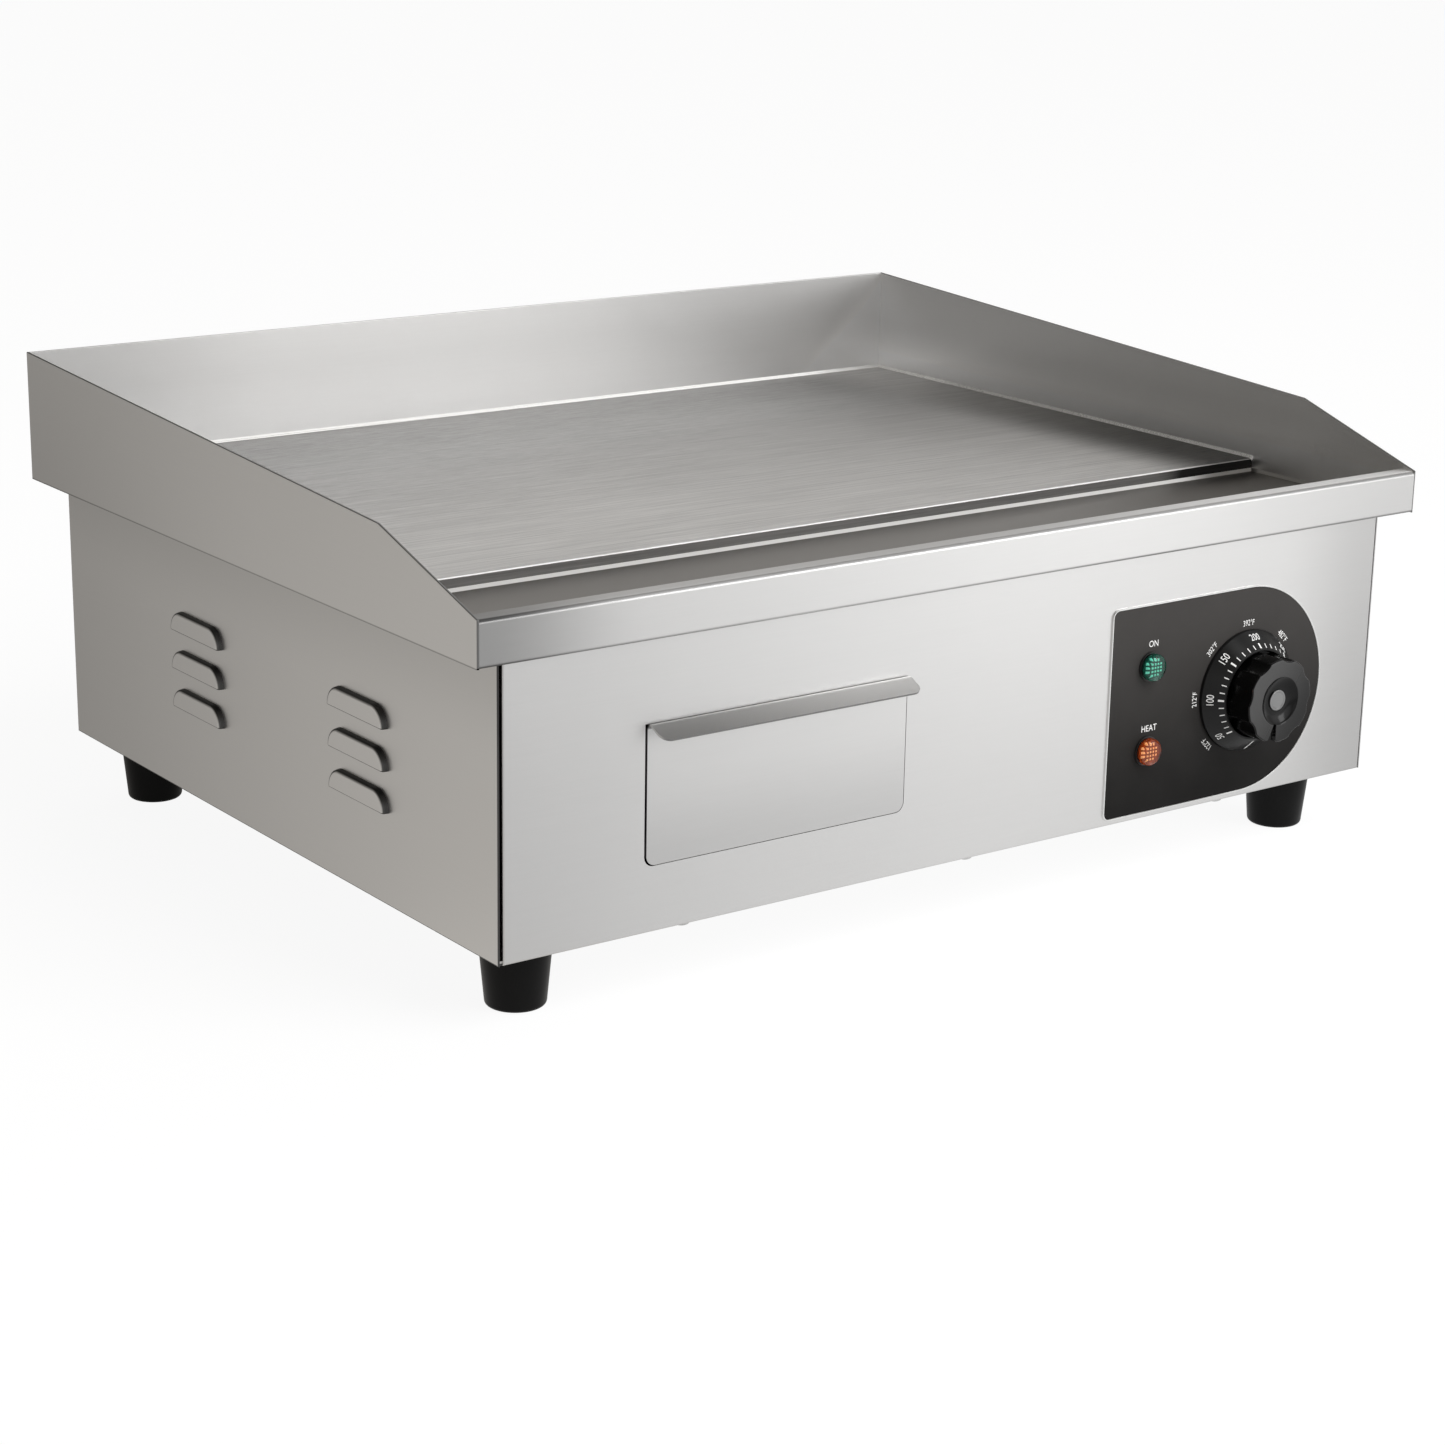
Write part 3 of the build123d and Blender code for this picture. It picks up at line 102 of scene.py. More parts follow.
# Light and shade painted into the steel's colour: a share multiplies the plain colour, and a dulling (painted
# shade) or a gain (painted light) is added to a share.
# Heights, lengths and reaches are in metres, and leans are cosines between the surface and a direction.
sheet_lean = 0.06
plate_lean = 0.5
plate_stroke = (40 * MM, 0.7 * MM)
flat_lean = (0.60, 0.99)
edge_line = 0.9 * MM
louvre_wall_share = 0.13
louvre_end_lean = (0.02, 0.25)
louvre_end_shade = -0.80
louvre_mouth_lean = (0.02, 0.30)
louvre_mouth_shade = -0.70
overhang_shade = -0.12
overhang_shade_height = 45 * MM
case_half = 260 * MM
case_dark_share = 0.1
guard_edge_share = 0.30
guard_bottom_shade = -0.60
guard_inner_lean = (0.5, 0.9)
guard_pale_height = 30 * MM
guard_pale_gain = 0.40
guard_rear_axis = (-0.8, 0.6, 0)
guard_rear_reach = (200 * MM, 360 * MM)
guard_rear_shade = -0.16
back_inner_lean = (0.0, 0.5)
back_pale_height = 40 * MM
back_pale_gain = 0.24
back_left_length = 150 * MM
back_left_shade = -0.24
back_corner_axis = (0.76, 0, -0.65)
back_corner_reach = (46 * MM, 72 * MM)
back_corner_gain = 0.50
front_right_length = 70 * MM
front_right_share = 0.82
lip_left_shade_length = 85 * MM
lip_left_shade_share = 0.55
lip_right_reach = (100 * MM, 270 * MM)
lip_right_shade = -0.10
lip_edge_lean = (0.15, 0.45)
lip_edge_shade = -0.42
lip_top_lean = (0.75, 0.97)
lip_top_gains = (0.30, 0.80)
lip_under_lean = (-0.60, -0.10)
lip_under_shade = -0.40
pull_lean = (0.20, 0.85)
pull_shades = (-0.49, 0.10)
pull_under_lean = (-0.40, -0.08)
pull_under_share = 0.35
drawer_bottom_height = 45 * MM
drawer_bottom_shade = -0.13
plate_mirror_reach = (70 * MM, 22 * MM)
plate_mirror_gains = (-0.80, 0.42)
plate_rear_shade = -0.60
plate_face_lean = (0.02, 0.35)
plate_face_shade = -0.68
plate_edge_gain = 0.40
plate_top_lean = (0.75, 0.98)
plate_least_share = 0.05

# Sizes of the turned and printed pieces, in metres and radians, or as shares of a piece's own size
overlay_corner = 4.0 * MM
overlay_sheet = 0.6 * MM
overlay_edge_section = np.array([
    (0.05, 0), (0.05, 0.55), (-0.15, 0.95), (-0.55, 0.95), (-0.75, 0.7), (-0.75, 0),
]) * MM
print_relief = 0.06 * MM
overlay_edge_stroke = (50 * MM, 0.6 * MM)
letter_squeeze = 0.78
word_squeeze = 0.90
word_gap = 4.4 * MM
word_shift = 1.5 * MM
scale_marks = (50, 100, 150, 200, 250, 300)
scale_angles = [math.radians(225 - 45 * k) for k in range(6)]
off_angle = math.radians(270)
second_scale_radius = 34.2 * MM
bezel_bore = 21.7 * MM
bezel_brow_radius = 22.8 * MM
bezel_rim = 2.2 * MM
bezel_rounds = (0.4 * MM, 0.5 * MM, 0.9 * MM)
numeral_radius = 27.9 * MM
tick_radius = 23.3 * MM
minor_tick = (2.5 * MM, 0.5 * MM)
major_tick = (3.0 * MM, 0.95 * MM)
off_line = (8.0 * MM, 0.9 * MM)
off_line_radius = 27.0 * MM
knob_bore = 3.1 * MM
knob_skirt = 4.5 * MM
knob_skirt_step = 0.05 * MM
knob_foot_round = 0.3 * MM
knob_edge_round = 0.9 * MM
knob_face_edge = 1.6 * MM
knob_flutes = 8
knob_face_lean = (0.75, 0.99)
knob_paleness = 4.4
knob_spread = 0.95
# Painted light and shade across the knob's face, along this axis
knob_light_axis = (0.8, 0, -0.6)
knob_face_shade = -0.40
flute_radius = 11.0 * MM
flute_depth = 1.3 * MM
pointer_angle = math.radians(258)
pointer_widths = (1.2 * MM, 5.2 * MM)
pointer_depth = 1.6 * MM
pointer_wall = 0.35 * MM
pointer_root = 0.5 * MM
# Painted shade within the pointer's depth behind the face, which darkens the pointer's groove
pointer_shade = -0.40
hub_radius = 11.7 * MM
hub_floor = 5.6 * MM
hub_depth = 2.4 * MM
hub_brow = 0.9 * MM
hub_brow_drops = (0.08 * MM, 0.5 * MM)
hub_disc_section = np.array([(0, 0), (1, 0), (1, 1), (0.82, 1), (0.76, 0.7), (0, 0.7)])
hub_disc_round = 0.35
lens_brow = 0.2 * MM
lens_crown = 0.55
lens_paleness = 0.45
lens_floor_dulling = 0.30
lens_rounds = (2.2 * MM, 3.0 * MM)
lens_floor_share = 0.93
lens_floor_heights = (0.25 * MM, 1.0 * MM)
facet_rows = 5
facet_pitch = 1.75 * MM
facet_half = 0.52 * MM
facet_tip = 0.6
facet_seat = 0.95 * MM
facet_field = 0.72
facet_paleness = 0.24
facet_gain = 1.9
facet_glow = 0.30
foot_bottom = 13.6 * MM
foot_pocket = 8.5 * MM
foot_ceiling = 18.0 * MM
foot_hole = 3.0 * MM
foot_rounds = (0.8 * MM, 2.2 * MM, 0.6 * MM, 1.0 * MM)
screw_head_radius = 3.6 * MM
screw_head_height = 2.2 * MM
screw_dome = 1.18
screw_shank = 1.9 * MM
cross_half_width = 0.45 * MM
cross_wall = 0.12 * MM
cross_reach = 2.0 * MM
cross_end = 0.3 * MM
cross_depth = 1.1 * MM
cross_rise = 0.35
base_screw_xs = (-162 * MM, 0.0, 162 * MM)
base_screw_ys = (-200.5 * MM, 196 * MM)
base_screw_length = 9 * MM
rear_screw_x = 253 * MM
rear_screw_zs = (56 * MM, 144 * MM)
rear_screw_length = 7 * MM

# Soft patches of light in the room: direction, cosines at the patch's edge and core, and strength
room_patches = (
    ((0.88, 0.45, 0.20), 0.92, 0.99, 0.60),
    ((-0.62, -0.77, 0.16), 0.80, 0.98, 0.32),
    ((0.50, -0.85, 0.20), 0.80, 0.995, 0.95),
    ((0.43, 0.59, 0.68), 0.95, 0.99, 0.75),
    ((0.66, -0.28, 0.70), 0.93, 0.99, 0.60),
    ((0.15, -0.53, 0.84), 0.985, 0.995, 2.5),
)
room_side = ((0.86, -0.50, 0.0), -1.0, 0.7, 0.22, 0.58)
room_ceiling = (UP, 0.30, 0.60, 0.0, -0.20)
room_least = 0.04

# The floor as steel mirrors it: direction, start and end along it in metres, and strength at each
floor_rear = ((-0.883, -0.469, 0.0), -0.01, 0.44, 0.24, 0.60)
floor_forward = ((0.59, -0.81, 0.0), -0.10, 0.15, 0.0, 1.0)
floor_behind = ((0.8, 0.6, 0.0), 0.15, 0.50, 0.0, 0.28)
floor_front_strength = 0.55
pool_axis = (0.731, 0.682, 0.0)
pool_shift = 0.12
pool_half_width = 0.34
pool_reaches = ((0.0, 0.25, 0.0, 0.26), (0.3, 0.8, 0.0, 0.55))


# Properties

def colour_setting(name, description, default):
    """A colour that a user can change."""
    return FloatVectorProperty(
        name=name, description=description, subtype="COLOR", size=3, min=0, max=1, default=default,
    )


def length_setting(name, description, default, least=0.0):
    """A length in metres that a user can change."""
    return FloatProperty(name=name, description=description, unit="LENGTH", min=least, default=default)


def power_setting(name, description, default):
    """A lamp's power in watts that a user can change."""
    return FloatProperty(name=name, description=description, unit="POWER", min=0, default=default)


def angle_setting(name, description, degrees):
    """An angle that a user can change."""
    return FloatProperty(name=name, description=description, subtype="ANGLE", default=math.radians(degrees))


class GriddleSteel(bpy.types.PropertyGroup):
    """Finish of the steel sheets, the plate and the welds."""

    sheet_colour: colour_setting(
        "Sheet colour", "Reflection colour of the satin steel sheets", (0.775, 0.77, 0.762))
    # The trough's darker colour is painted shade for the recessed trough.
    trough_colour: colour_setting(
        "Trough colour", "Reflection colour of the duller trough sheet", (0.275, 0.262, 0.247))
    plate_colour: colour_setting(
        "Plate colour", "Reflection colour of the brushed cooking plate", (0.73, 0.719, 0.705))
    weld_colour: colour_setting(
        "Weld colour", "Reflection colour of the bead in the trough", (0.78, 0.77, 0.75))
    # The seam's pale colour, on a surface only part metal, paints a highlight along the bead round the plate.
    seam_colour: colour_setting(
        "Seam colour", "Colour of the highlighted bead round the plate", (0.93, 0.92, 0.90))
    inner_colour: colour_setting(
        "Inner sheet colour", "Reflection colour of the plain sheets inside", (0.62, 0.61, 0.60))
    stroke_length: length_setting(
        "Stroke length", "Length of one brush stroke in the sheets", 0.05, 0.005)
    stroke_width: length_setting(
        "Stroke width", "Width of one brush stroke in the sheets", 0.0003, 0.0001)


class GriddleControls(bpy.types.PropertyGroup):
    """Colours and marks of the control panel."""

    overlay_colour: colour_setting(
        "Overlay colour", "Colour of the plate behind the dial and the lamps", (0.030, 0.0283, 0.0272))
    dial_colour: colour_setting(
        "Dial colour", "Colour of the bezel and the knob", (0.007, 0.007, 0.007))
    print_colour: colour_setting(
        "Print colour", "Colour of the numbers and marks", (0.86, 0.86, 0.85))
    power_colour: colour_setting(
        "Power lens colour", "Colour of the upper lamp lens", (0.0, 0.36, 0.25))
    heat_colour: colour_setting(
        "Heat lens colour", "Colour of the lower lamp lens", (0.95, 0.20, 0.01))
    panel_letter: length_setting(
        "Panel letter height", "Height of the numbers and words on the overlay", 3.1 * MM)
    scale_letter: length_setting(
        "Scale letter height", "Height of the numbers on the bezel's cone", 3.7 * MM)
    steps_per_mark: IntProperty(
        name="Steps per mark", description="Small steps between two numbers of the scale",
        min=1, default=5,
    )


class GriddleTrim(bpy.types.PropertyGroup):
    """Rubber, fasteners and moulded pieces."""

    rubber_colour: colour_setting(
        "Rubber colour", "Colour of the feet", (0.004, 0.004, 0.004))
    moulding_colour: colour_setting(
        "Moulding colour", "Colour of the lamp bodies and the cord entry", (0.014, 0.014, 0.014))
    fastener_colour: colour_setting(
        "Fastener colour", "Reflection colour of plated screws and nuts", (0.66, 0.66, 0.65))


class GriddleStage(bpy.types.PropertyGroup):
    """Floor, light and camera."""

    floor_half: length_setting("Floor half width", "Half the width of the studio floor", 6.0)
    key_power: power_setting("Key power", "Power of the large light above the right front", 45.0)
    strip_power: power_setting("Strip power", "Power of the low upright light at the right front", 1.6)
    camera_place: FloatVectorProperty(
        name="Camera place", description="Where the camera stands",
        subtype="XYZ", unit="LENGTH", size=3, default=(-0.91841, -1.26392, 0.50945),
    )
    camera_azimuth: angle_setting(
        "Camera azimuth", "Direction that the camera looks from, about the upright axis", -36.16)
    camera_elevation: angle_setting("Camera elevation", "How far the camera looks down", 16.51)
    camera_roll: angle_setting("Camera roll", "Turn of the picture about its middle", 0.99)
    camera_lens: FloatProperty(
        name="Camera lens", description="Focal length in millimetres on a 36 mm sensor",
        unit="CAMERA", default=78.67,
    )


# Surfaces

def grid_part(points, wrap_rows=False, wrap_columns=False):
    """Points of a grid p(i, j) and the quads between neighbours, closed round where asked."""
    rows, columns = points.shape[:2]
    index = np.arange(rows * columns).reshape(rows, columns)
    if wrap_rows:
        index = np.vstack([index, index[:1]])
    if wrap_columns:
        index = np.hstack([index, index[:, :1]])
    quads = np.stack([index[:-1, :-1], index[1:, :-1], index[1:, 1:], index[:-1, 1:]], axis=-1)
    return points.reshape(-1, 3), quads.reshape(-1, 4).tolist()


def joined(parts):
    """Several (points, faces) parts as one, with the face numbers moved on."""
    starts = np.cumsum([0] + [len(points) for points, _ in parts])
    faces = [[i + start for i in face] for (_, part), start in zip(parts, starts) for face in part]
    return np.concatenate([points for points, _ in parts]), faces


def rounded_outline(corners, radii, steps=6):
    """A closed outline whose corners are tangent arcs.

    At a corner with half turn h, the arc of radius r starts r tan h before it and ends as far after it;
    its points are the corner moved along the bisector, then out again by r at even angles.
    """
    corners = np.asarray(corners, float)
    points = []
    for k, radius in enumerate(radii):
        corner = corners[k]
        before = corners[k - 1] - corner
        after = corners[(k + 1) % len(corners)] - corner
        before /= np.linalg.norm(before)
        after /= np.linalg.norm(after)
        if radius == 0:
            points.append(corner[None])
            continue
        opening = math.acos(np.clip(before @ after, -1, 1))
        reach = radius / math.tan(opening / 2)
        centre = corner + (before + after) / np.linalg.norm(before + after) * radius / math.sin(opening / 2)
        first, last = corner + before * reach - centre, corner + after * reach - centre
        turn = np.linspace(0, 1, steps)[:, None] * (math.pi - opening)
        side = last - first * math.cos(math.pi - opening)
        points.append(centre + first * np.cos(turn) + side / math.sin(opening) * np.sin(turn))
    return np.concatenate(points)


def turned(outline, centre, across, up, count):
    """A closed (radius, height) outline turned about an axis through centre.

    Point (k, j) = centre + r_k (cos t_j across + sin t_j up) + h_k axis, with axis = across x up.
    """
    across, up = np.asarray(across, float), np.asarray(up, float)
    angle = np.linspace(0, 2 * math.pi, count, endpoint=False)[None, :, None]
    radius, height = outline[:, 0, None, None], outline[:, 1, None, None]
    ring = np.cos(angle) * across + np.sin(angle) * up
    points = np.asarray(centre, float) + radius * ring + height * np.cross(across, up)
    return grid_part(points, wrap_rows=True, wrap_columns=True)


def carried(profile, path):
    """A closed (aside, out) profile carried round a closed path on the front panel.

    Point (i, j) = path_j moved along its outward normal by aside_i, and out of the panel by out_i.
    """
    along = np.roll(path, -1, axis=0) - np.roll(path, 1, axis=0)
    along /= np.linalg.norm(along, axis=1, keepdims=True)
    normal = np.stack([along[:, 1], -along[:, 0]], axis=-1)
    flat = path[None] + profile[:, :1, None] * normal[None]
    out = np.broadcast_to(panel_y - profile[:, 1:], flat.shape[:2])
    points = np.stack([flat[..., 0], out, flat[..., 1]], axis=-1)
    return grid_part(points, wrap_rows=True, wrap_columns=True)


def letter_part(words, height, squeeze, relief):
    """Words as a thin closed part about the origin: x along the line, y up the letters, z out.

    The text curve is filled, thickened and scaled so that its letters are height tall and relief thick.
    """
    curve = bpy.data.curves.new("letters", "FONT")
    curve.body = words
    curve.resolution_u = 5
    curve.extrude = 0.02
    holder = bpy.data.objects.new("letters", curve)
    mesh = bpy.data.meshes.new_from_object(holder)
    points = np.empty(len(mesh.vertices) * 3)
    mesh.vertices.foreach_get("co", points)
    points = points.reshape(-1, 3)
    faces = [list(face.vertices) for face in mesh.polygons]
    low, high = points.min(axis=0), points.max(axis=0)
    scale = height / (high[1] - low[1])
    points = (points - (low + high) / 2) * (scale * squeeze, scale, relief / (high[2] - low[2]))
    bpy.data.meshes.remove(mesh)
    bpy.data.objects.remove(holder)
    bpy.data.curves.remove(curve)
    return points, faces


def on_panel(part, x, z):
    """A part about the origin laid flat on the overlay at (x, z)."""
    points, faces = part
    return np.stack([x + points[:, 0], overlay_front - points[:, 2], z + points[:, 1]], axis=-1), faces


def on_dial(part, radius, angle, slope, out):
    """A part about the origin wrapped round the dial, its tops outward, on a cone of the given slope.

    A point (x, y, z) of the part goes to the angle less x / radius, to the radius plus
    y cos(slope) + z sin(slope), and out of the panel by out - y sin(slope) + z cos(slope).
    """
    points, faces = part
    turn = angle - points[:, 0] / radius
    reach = radius + points[:, 1] * math.cos(slope) + points[:, 2] * math.sin(slope)
    depth = out - points[:, 1] * math.sin(slope) + points[:, 2] * math.cos(slope)
    laid = (dial_x + reach * np.cos(turn), panel_y - depth, dial_z + reach * np.sin(turn))
    return np.stack(laid, axis=-1), faces


def bar_part(length, width, relief):
    """A thin closed bar about the origin: length along y, width along x and relief along z."""
    signs = np.array([[(x, y, z) for x, z in ((-1, -1), (1, -1), (1, 1), (-1, 1))] for y in (-1, 1)])
    points, sides = grid_part(signs * (width / 2, length / 2, relief / 2), wrap_columns=True)
    return points, sides + [[3, 2, 1, 0], [4, 5, 6, 7]]


def make_piece(name, part, material, body, replaced=(), crease=35.0):
    """A mesh object from (points, faces), closed, facing out, riding on its body."""
    points, faces = part
    mesh = bpy.data.meshes.new(name)
    mesh.from_pydata(points.tolist(), [], faces)
    shell = bmesh.new()
    shell.from_mesh(mesh)
    bmesh.ops.remove_doubles(shell, verts=shell.verts, dist=1e-7)
    bmesh.ops.recalc_face_normals(shell, faces=shell.faces)
    shell.to_mesh(mesh)
    shell.free()
    mesh.shade_smooth()
    mesh.set_sharp_from_angle(angle=math.radians(crease))
    mesh.materials.append(material)
    piece = bpy.data.objects.new(name, mesh)
    bpy.context.scene.collection.objects.link(piece)
    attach(piece, body)
    if replaced:
        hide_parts(*replaced)


# Material helpers

def fresh_material(name):
    """An empty material with its Principled shader; returns the material, its tree and the shader."""
    material = bpy.data.materials.new(name)
    material.use_nodes = True
    tree = material.node_tree
    return material, tree, tree.nodes["Principled BSDF"]


def add_node(tree, kind, **values):
    """A node of a kind, with its properties set by name."""
    node = tree.nodes.new(kind)
    for key, value in values.items():
        setattr(node, key, value)
    return node


def add_group(tree, group, **values):
    """A shader group in a tree, with its inputs set by name; an underscore stands for a space."""
    node = tree.nodes.new("ShaderNodeGroup")
    node.node_tree = group
    for key, value in values.items():
        node.inputs[key.replace("_", " ")].default_value = value
    return node


def colour(values):
    """A colour with full alpha."""
    return (*values, 1.0)


def feed(tree, value, socket):
    """Gives an input a number, or links another node's output to it."""
    if isinstance(value, bpy.types.NodeSocket):
        tree.links.new(value, socket)
    else:
        socket.default_value = value


def worked_out(tree, operation, *values):
    """A Math operation on sockets and numbers."""
    node = add_node(tree, "ShaderNodeMath", operation=operation)
    for value, socket in zip(values, node.inputs):
        feed(tree, value, socket)
    return node.outputs["Value"]


def weighted_sum(tree, sockets):
    """Adds value sockets one after another."""
    total = sockets[0]
    for socket in sockets[1:]:
        total = worked_out(tree, "ADD", total, socket)
    return total


def blended(tree, share, first, second):
    """A value that goes from the first to the second by a share; each is a socket or a number."""
    node = add_node(tree, "ShaderNodeMix", data_type="FLOAT")
    for name, value in (("Factor", share), ("A", first), ("B", second)):
        feed(tree, value, node.inputs[name])
    return node.outputs["Result"]


def ranged(tree, socket, start, end, low, high):
    """A value eased from low at start to high at end."""
    span = add_node(tree, "ShaderNodeMapRange", interpolation_type="SMOOTHSTEP")
    for name, value in zip(("From Min", "From Max", "To Min", "To Max"), (start, end, low, high)):
        span.inputs[name].default_value = value
    tree.links.new(socket, span.inputs["Value"])
    return span.outputs["Result"]


def colour_ramp(tree, value, places, colours):
    """A colour that goes from one to another between two places on a value."""
    node = add_node(tree, "ShaderNodeValToRGB")
    for stop, place, shade in zip(node.color_ramp.elements, places, colours):
        stop.position = place
        stop.color = colour(shade)
    tree.links.new(value, node.inputs["Fac"])
    return node.outputs["Color"]


def mixed_shader(tree, share, first, second):
    """A shader that goes from the first to the second by a share."""
    node = add_node(tree, "ShaderNodeMixShader")
    for value, socket in zip((share, first, second), node.inputs):
        tree.links.new(value, socket)
    return node.outputs["Shader"]


def along_axis(tree, place, axis):
    """How far a place lies along an axis."""
    dot = add_node(tree, "ShaderNodeVectorMath", operation="DOT_PRODUCT")
    dot.inputs[1].default_value = axis
    tree.links.new(place, dot.inputs[0])
    return dot.outputs["Value"]


def leaning(tree, axis):
    """How far the surface faces along an axis: -1 to 1."""
    return along_axis(tree, add_node(tree, "ShaderNodeNewGeometry").outputs["Normal"], axis)


def facing(tree, axis):
    """How squarely the surface faces along an axis, either way: 0 to 1."""
    return worked_out(tree, "ABSOLUTE", leaning(tree, axis))


def position(tree, axis):
    """How far the place on the object lies along an axis."""
    return along_axis(tree, add_node(tree, "ShaderNodeTexCoord").outputs["Object"], axis)


def noise(tree, place, scale, detail, roughness=0.6):
    """A noise at a place; the scale is a number or a socket."""
    node = add_node(tree, "ShaderNodeTexNoise")
    feed(tree, scale, node.inputs["Scale"])
    node.inputs["Detail"].default_value = detail
    node.inputs["Roughness"].default_value = roughness
    tree.links.new(place, node.inputs["Vector"])
    return node.outputs["Fac"]


def new_group(name, inputs, outputs):
    """A shader group with inputs by name and default, and outputs by name and kind.

    Returns the group, what it is given and what it puts out.
    """
    group = bpy.data.node_groups.new(name, "ShaderNodeTree")
    for key, default in inputs.items():
        kind = "NodeSocketVector" if isinstance(default, tuple) else "NodeSocketFloat"
        group.interface.new_socket(key, in_out="INPUT", socket_type=kind).default_value = default
    for key, kind in outputs.items():
        group.interface.new_socket(key, in_out="OUTPUT", socket_type=kind)
    return group, add_node(group, "NodeGroupInput").outputs, add_node(group, "NodeGroupOutput").inputs


def brushed_group():
    """Brush strokes: noise drawn out along one axis, fine and coarse, over broad soft drifts.

    Tone is 0.5 on average. Normal is the surface's own, tilted along the vector Tilt by finer hairlines.
    """
    found = bpy.data.node_groups.get("Brush strokes")
    if found:
        return found
    inputs = {
        "Strokes per metre": (20.0, 1600.0, 1600.0), "Tilt": (0.0, 0.1, 0.1),
        "Drift size": 9.0, "Drift share": 0.4,
    }
    outputs = {"Tone": "NodeSocketFloat", "Normal": "NodeSocketVector"}
    group, given, result = new_group("Brush strokes", inputs, outputs)
    link = group.links.new
    place = add_node(group, "ShaderNodeTexCoord").outputs["Object"]
    scaled = add_node(group, "ShaderNodeVectorMath", operation="MULTIPLY")
    link(place, scaled.inputs[0])
    link(given["Strokes per metre"], scaled.inputs[1])
    drawn = scaled.outputs[0]
    strokes = blended(group, 0.35, noise(group, drawn, 1.0, 3.0), noise(group, drawn, 0.35, 2.0))
    drifts = noise(group, place, given["Drift size"], 2.0)
    link(blended(group, given["Drift share"], strokes, drifts), result["Tone"])
    lean = add_node(group, "ShaderNodeVectorMath", operation="SCALE")
    tilted = add_node(group, "ShaderNodeVectorMath", operation="ADD")
    unit = add_node(group, "ShaderNodeVectorMath", operation="NORMALIZE")
    hairlines = noise(group, drawn, 4.0, 1.0)
    link(given["Tilt"], lean.inputs[0])
    link(worked_out(group, "MULTIPLY_ADD", hairlines, 2.0, -1.0), lean.inputs["Scale"])
    link(add_node(group, "ShaderNodeNewGeometry").outputs["Normal"], tilted.inputs[0])
    link(lean.outputs[0], tilted.inputs[1])
    link(tilted.outputs[0], unit.inputs[0])
    link(unit.outputs[0], result["Normal"])
    return group


def speckle_group():
    """Moulding grain: fine noise for a bump and a tone, over slow patches."""
    found = bpy.data.node_groups.get("Moulding grain")
    if found:
        return found
    outputs = {"Tone": "NodeSocketFloat", "Height": "NodeSocketFloat"}
    group, given, result = new_group("Moulding grain", {"Grains per metre": 2500.0}, outputs)
    place = add_node(group, "ShaderNodeTexCoord").outputs["Object"]
    fine = noise(group, place, given["Grains per metre"], 2.0, 0.5)
    slow = noise(group, place, 60.0, 3.0, 0.5)
    group.links.new(blended(group, 0.5, fine, slow), result["Tone"])
    group.links.new(fine, result["Height"])
    return group


def tint(tree, tone, shader, base, spread, rough, shade=None):
    """Colour and roughness of a shader from a tone in tone_range.

    The colour runs from base (1 - spread) to base (1 + spread), and the roughness over the pair rough.
    A shade, where there is one, multiplies the colour; it carries painted light and shade.
    """
    ends = [[min(1.0, c * (1 + sign * spread)) for c in base] for sign in (-1, 1)]
    tinted = colour_ramp(tree, tone, tone_range, ends)
    span = add_node(tree, "ShaderNodeMapRange")
    for name, value in zip(("From Min", "From Max", "To Min", "To Max"), (*tone_range, *rough)):
        span.inputs[name].default_value = value
    link = tree.links.new
    if shade:
        shaded = add_node(tree, "ShaderNodeVectorMath", operation="SCALE")
        link(tinted, shaded.inputs[0])
        link(shade, shaded.inputs["Scale"])
        tinted = shaded.outputs[0]
    link(tinted, shader.inputs["Base Color"])
    link(tone, span.inputs["Value"])
    link(span.outputs["Result"], shader.inputs["Roughness"])


def roughen(tree, height, shader, strength):
    """A bump on a shader from the height of its grain."""
    relief = add_node(tree, "ShaderNodeBump")
    relief.inputs["Strength"].default_value = strength
    relief.inputs["Distance"].default_value = grain_height
    tree.links.new(height, relief.inputs["Height"])
    tree.links.new(relief.outputs["Normal"], shader.inputs["Normal"])


def steel_material(name, base, along, stroke, spread, rough, tilt=(0, 0, 0), drift_share=0.4,
                   shading=None, metallic=1.0):
    """Brushed steel whose strokes run along axis 0, 1 or 2; stroke is (length, width) in metres.

    The strokes lean the surface to and fro along the vector tilt, so that it mirrors the room as a smear
    across them. A shading function makes a value of painted light and shade that multiplies the colour.
    """
    found = bpy.data.materials.get(name)
    if found:
        return found
    material, tree, shader = fresh_material(name)
    shader.inputs["Metallic"].default_value = metallic
    stretch = [1 / stroke[1]] * 3
    stretch[along] = 1 / stroke[0]
    strokes = add_group(
        tree, brushed_group(), Strokes_per_metre=stretch, Tilt=tilt, Drift_share=drift_share,
    )
    shade = shading(tree) if shading else None
    tint(tree, strokes.outputs["Tone"], shader, base, spread, rough, shade)
    tree.links.new(strokes.outputs["Normal"], shader.inputs["Normal"])
    return material


def rear_shade(tree):
    """The rear panel: painted shade on the louvres' walls."""
    return ranged(tree, facing(tree, REAR), *flat_lean, louvre_wall_share, 1.0)


def side_shade(tree):
    """A side panel: painted shade on the louvres' walls, rear ends and mouths, and a painted shadow under the
    tray.

    The front edge of the right panel, which closes the corner, is kept clear of the painted shade.
    """
    top = side_high.z
    corner = Vector((case_half, panel_y, 0)).normalized()
    edge = corner.x * case_half + corner.y * panel_y
    dull = weighted_sum(tree, [
        ranged(tree, facing(tree, RIGHT), *flat_lean, louvre_wall_share, 1.0),
        ranged(tree, leaning(tree, REAR), *louvre_end_lean, 0.0, louvre_end_shade),
        ranged(tree, leaning(tree, DOWN), *louvre_mouth_lean, 0.0, louvre_mouth_shade),
        ranged(tree, position(tree, UP), top - overhang_shade_height, top, 0.0, overhang_shade),
    ])
    bright = ranged(
        tree, position(tree, corner), edge - 3 * edge_line, edge - 2 * edge_line, case_dark_share, 1.0,
    )
    return worked_out(tree, "MAXIMUM", dull, bright)


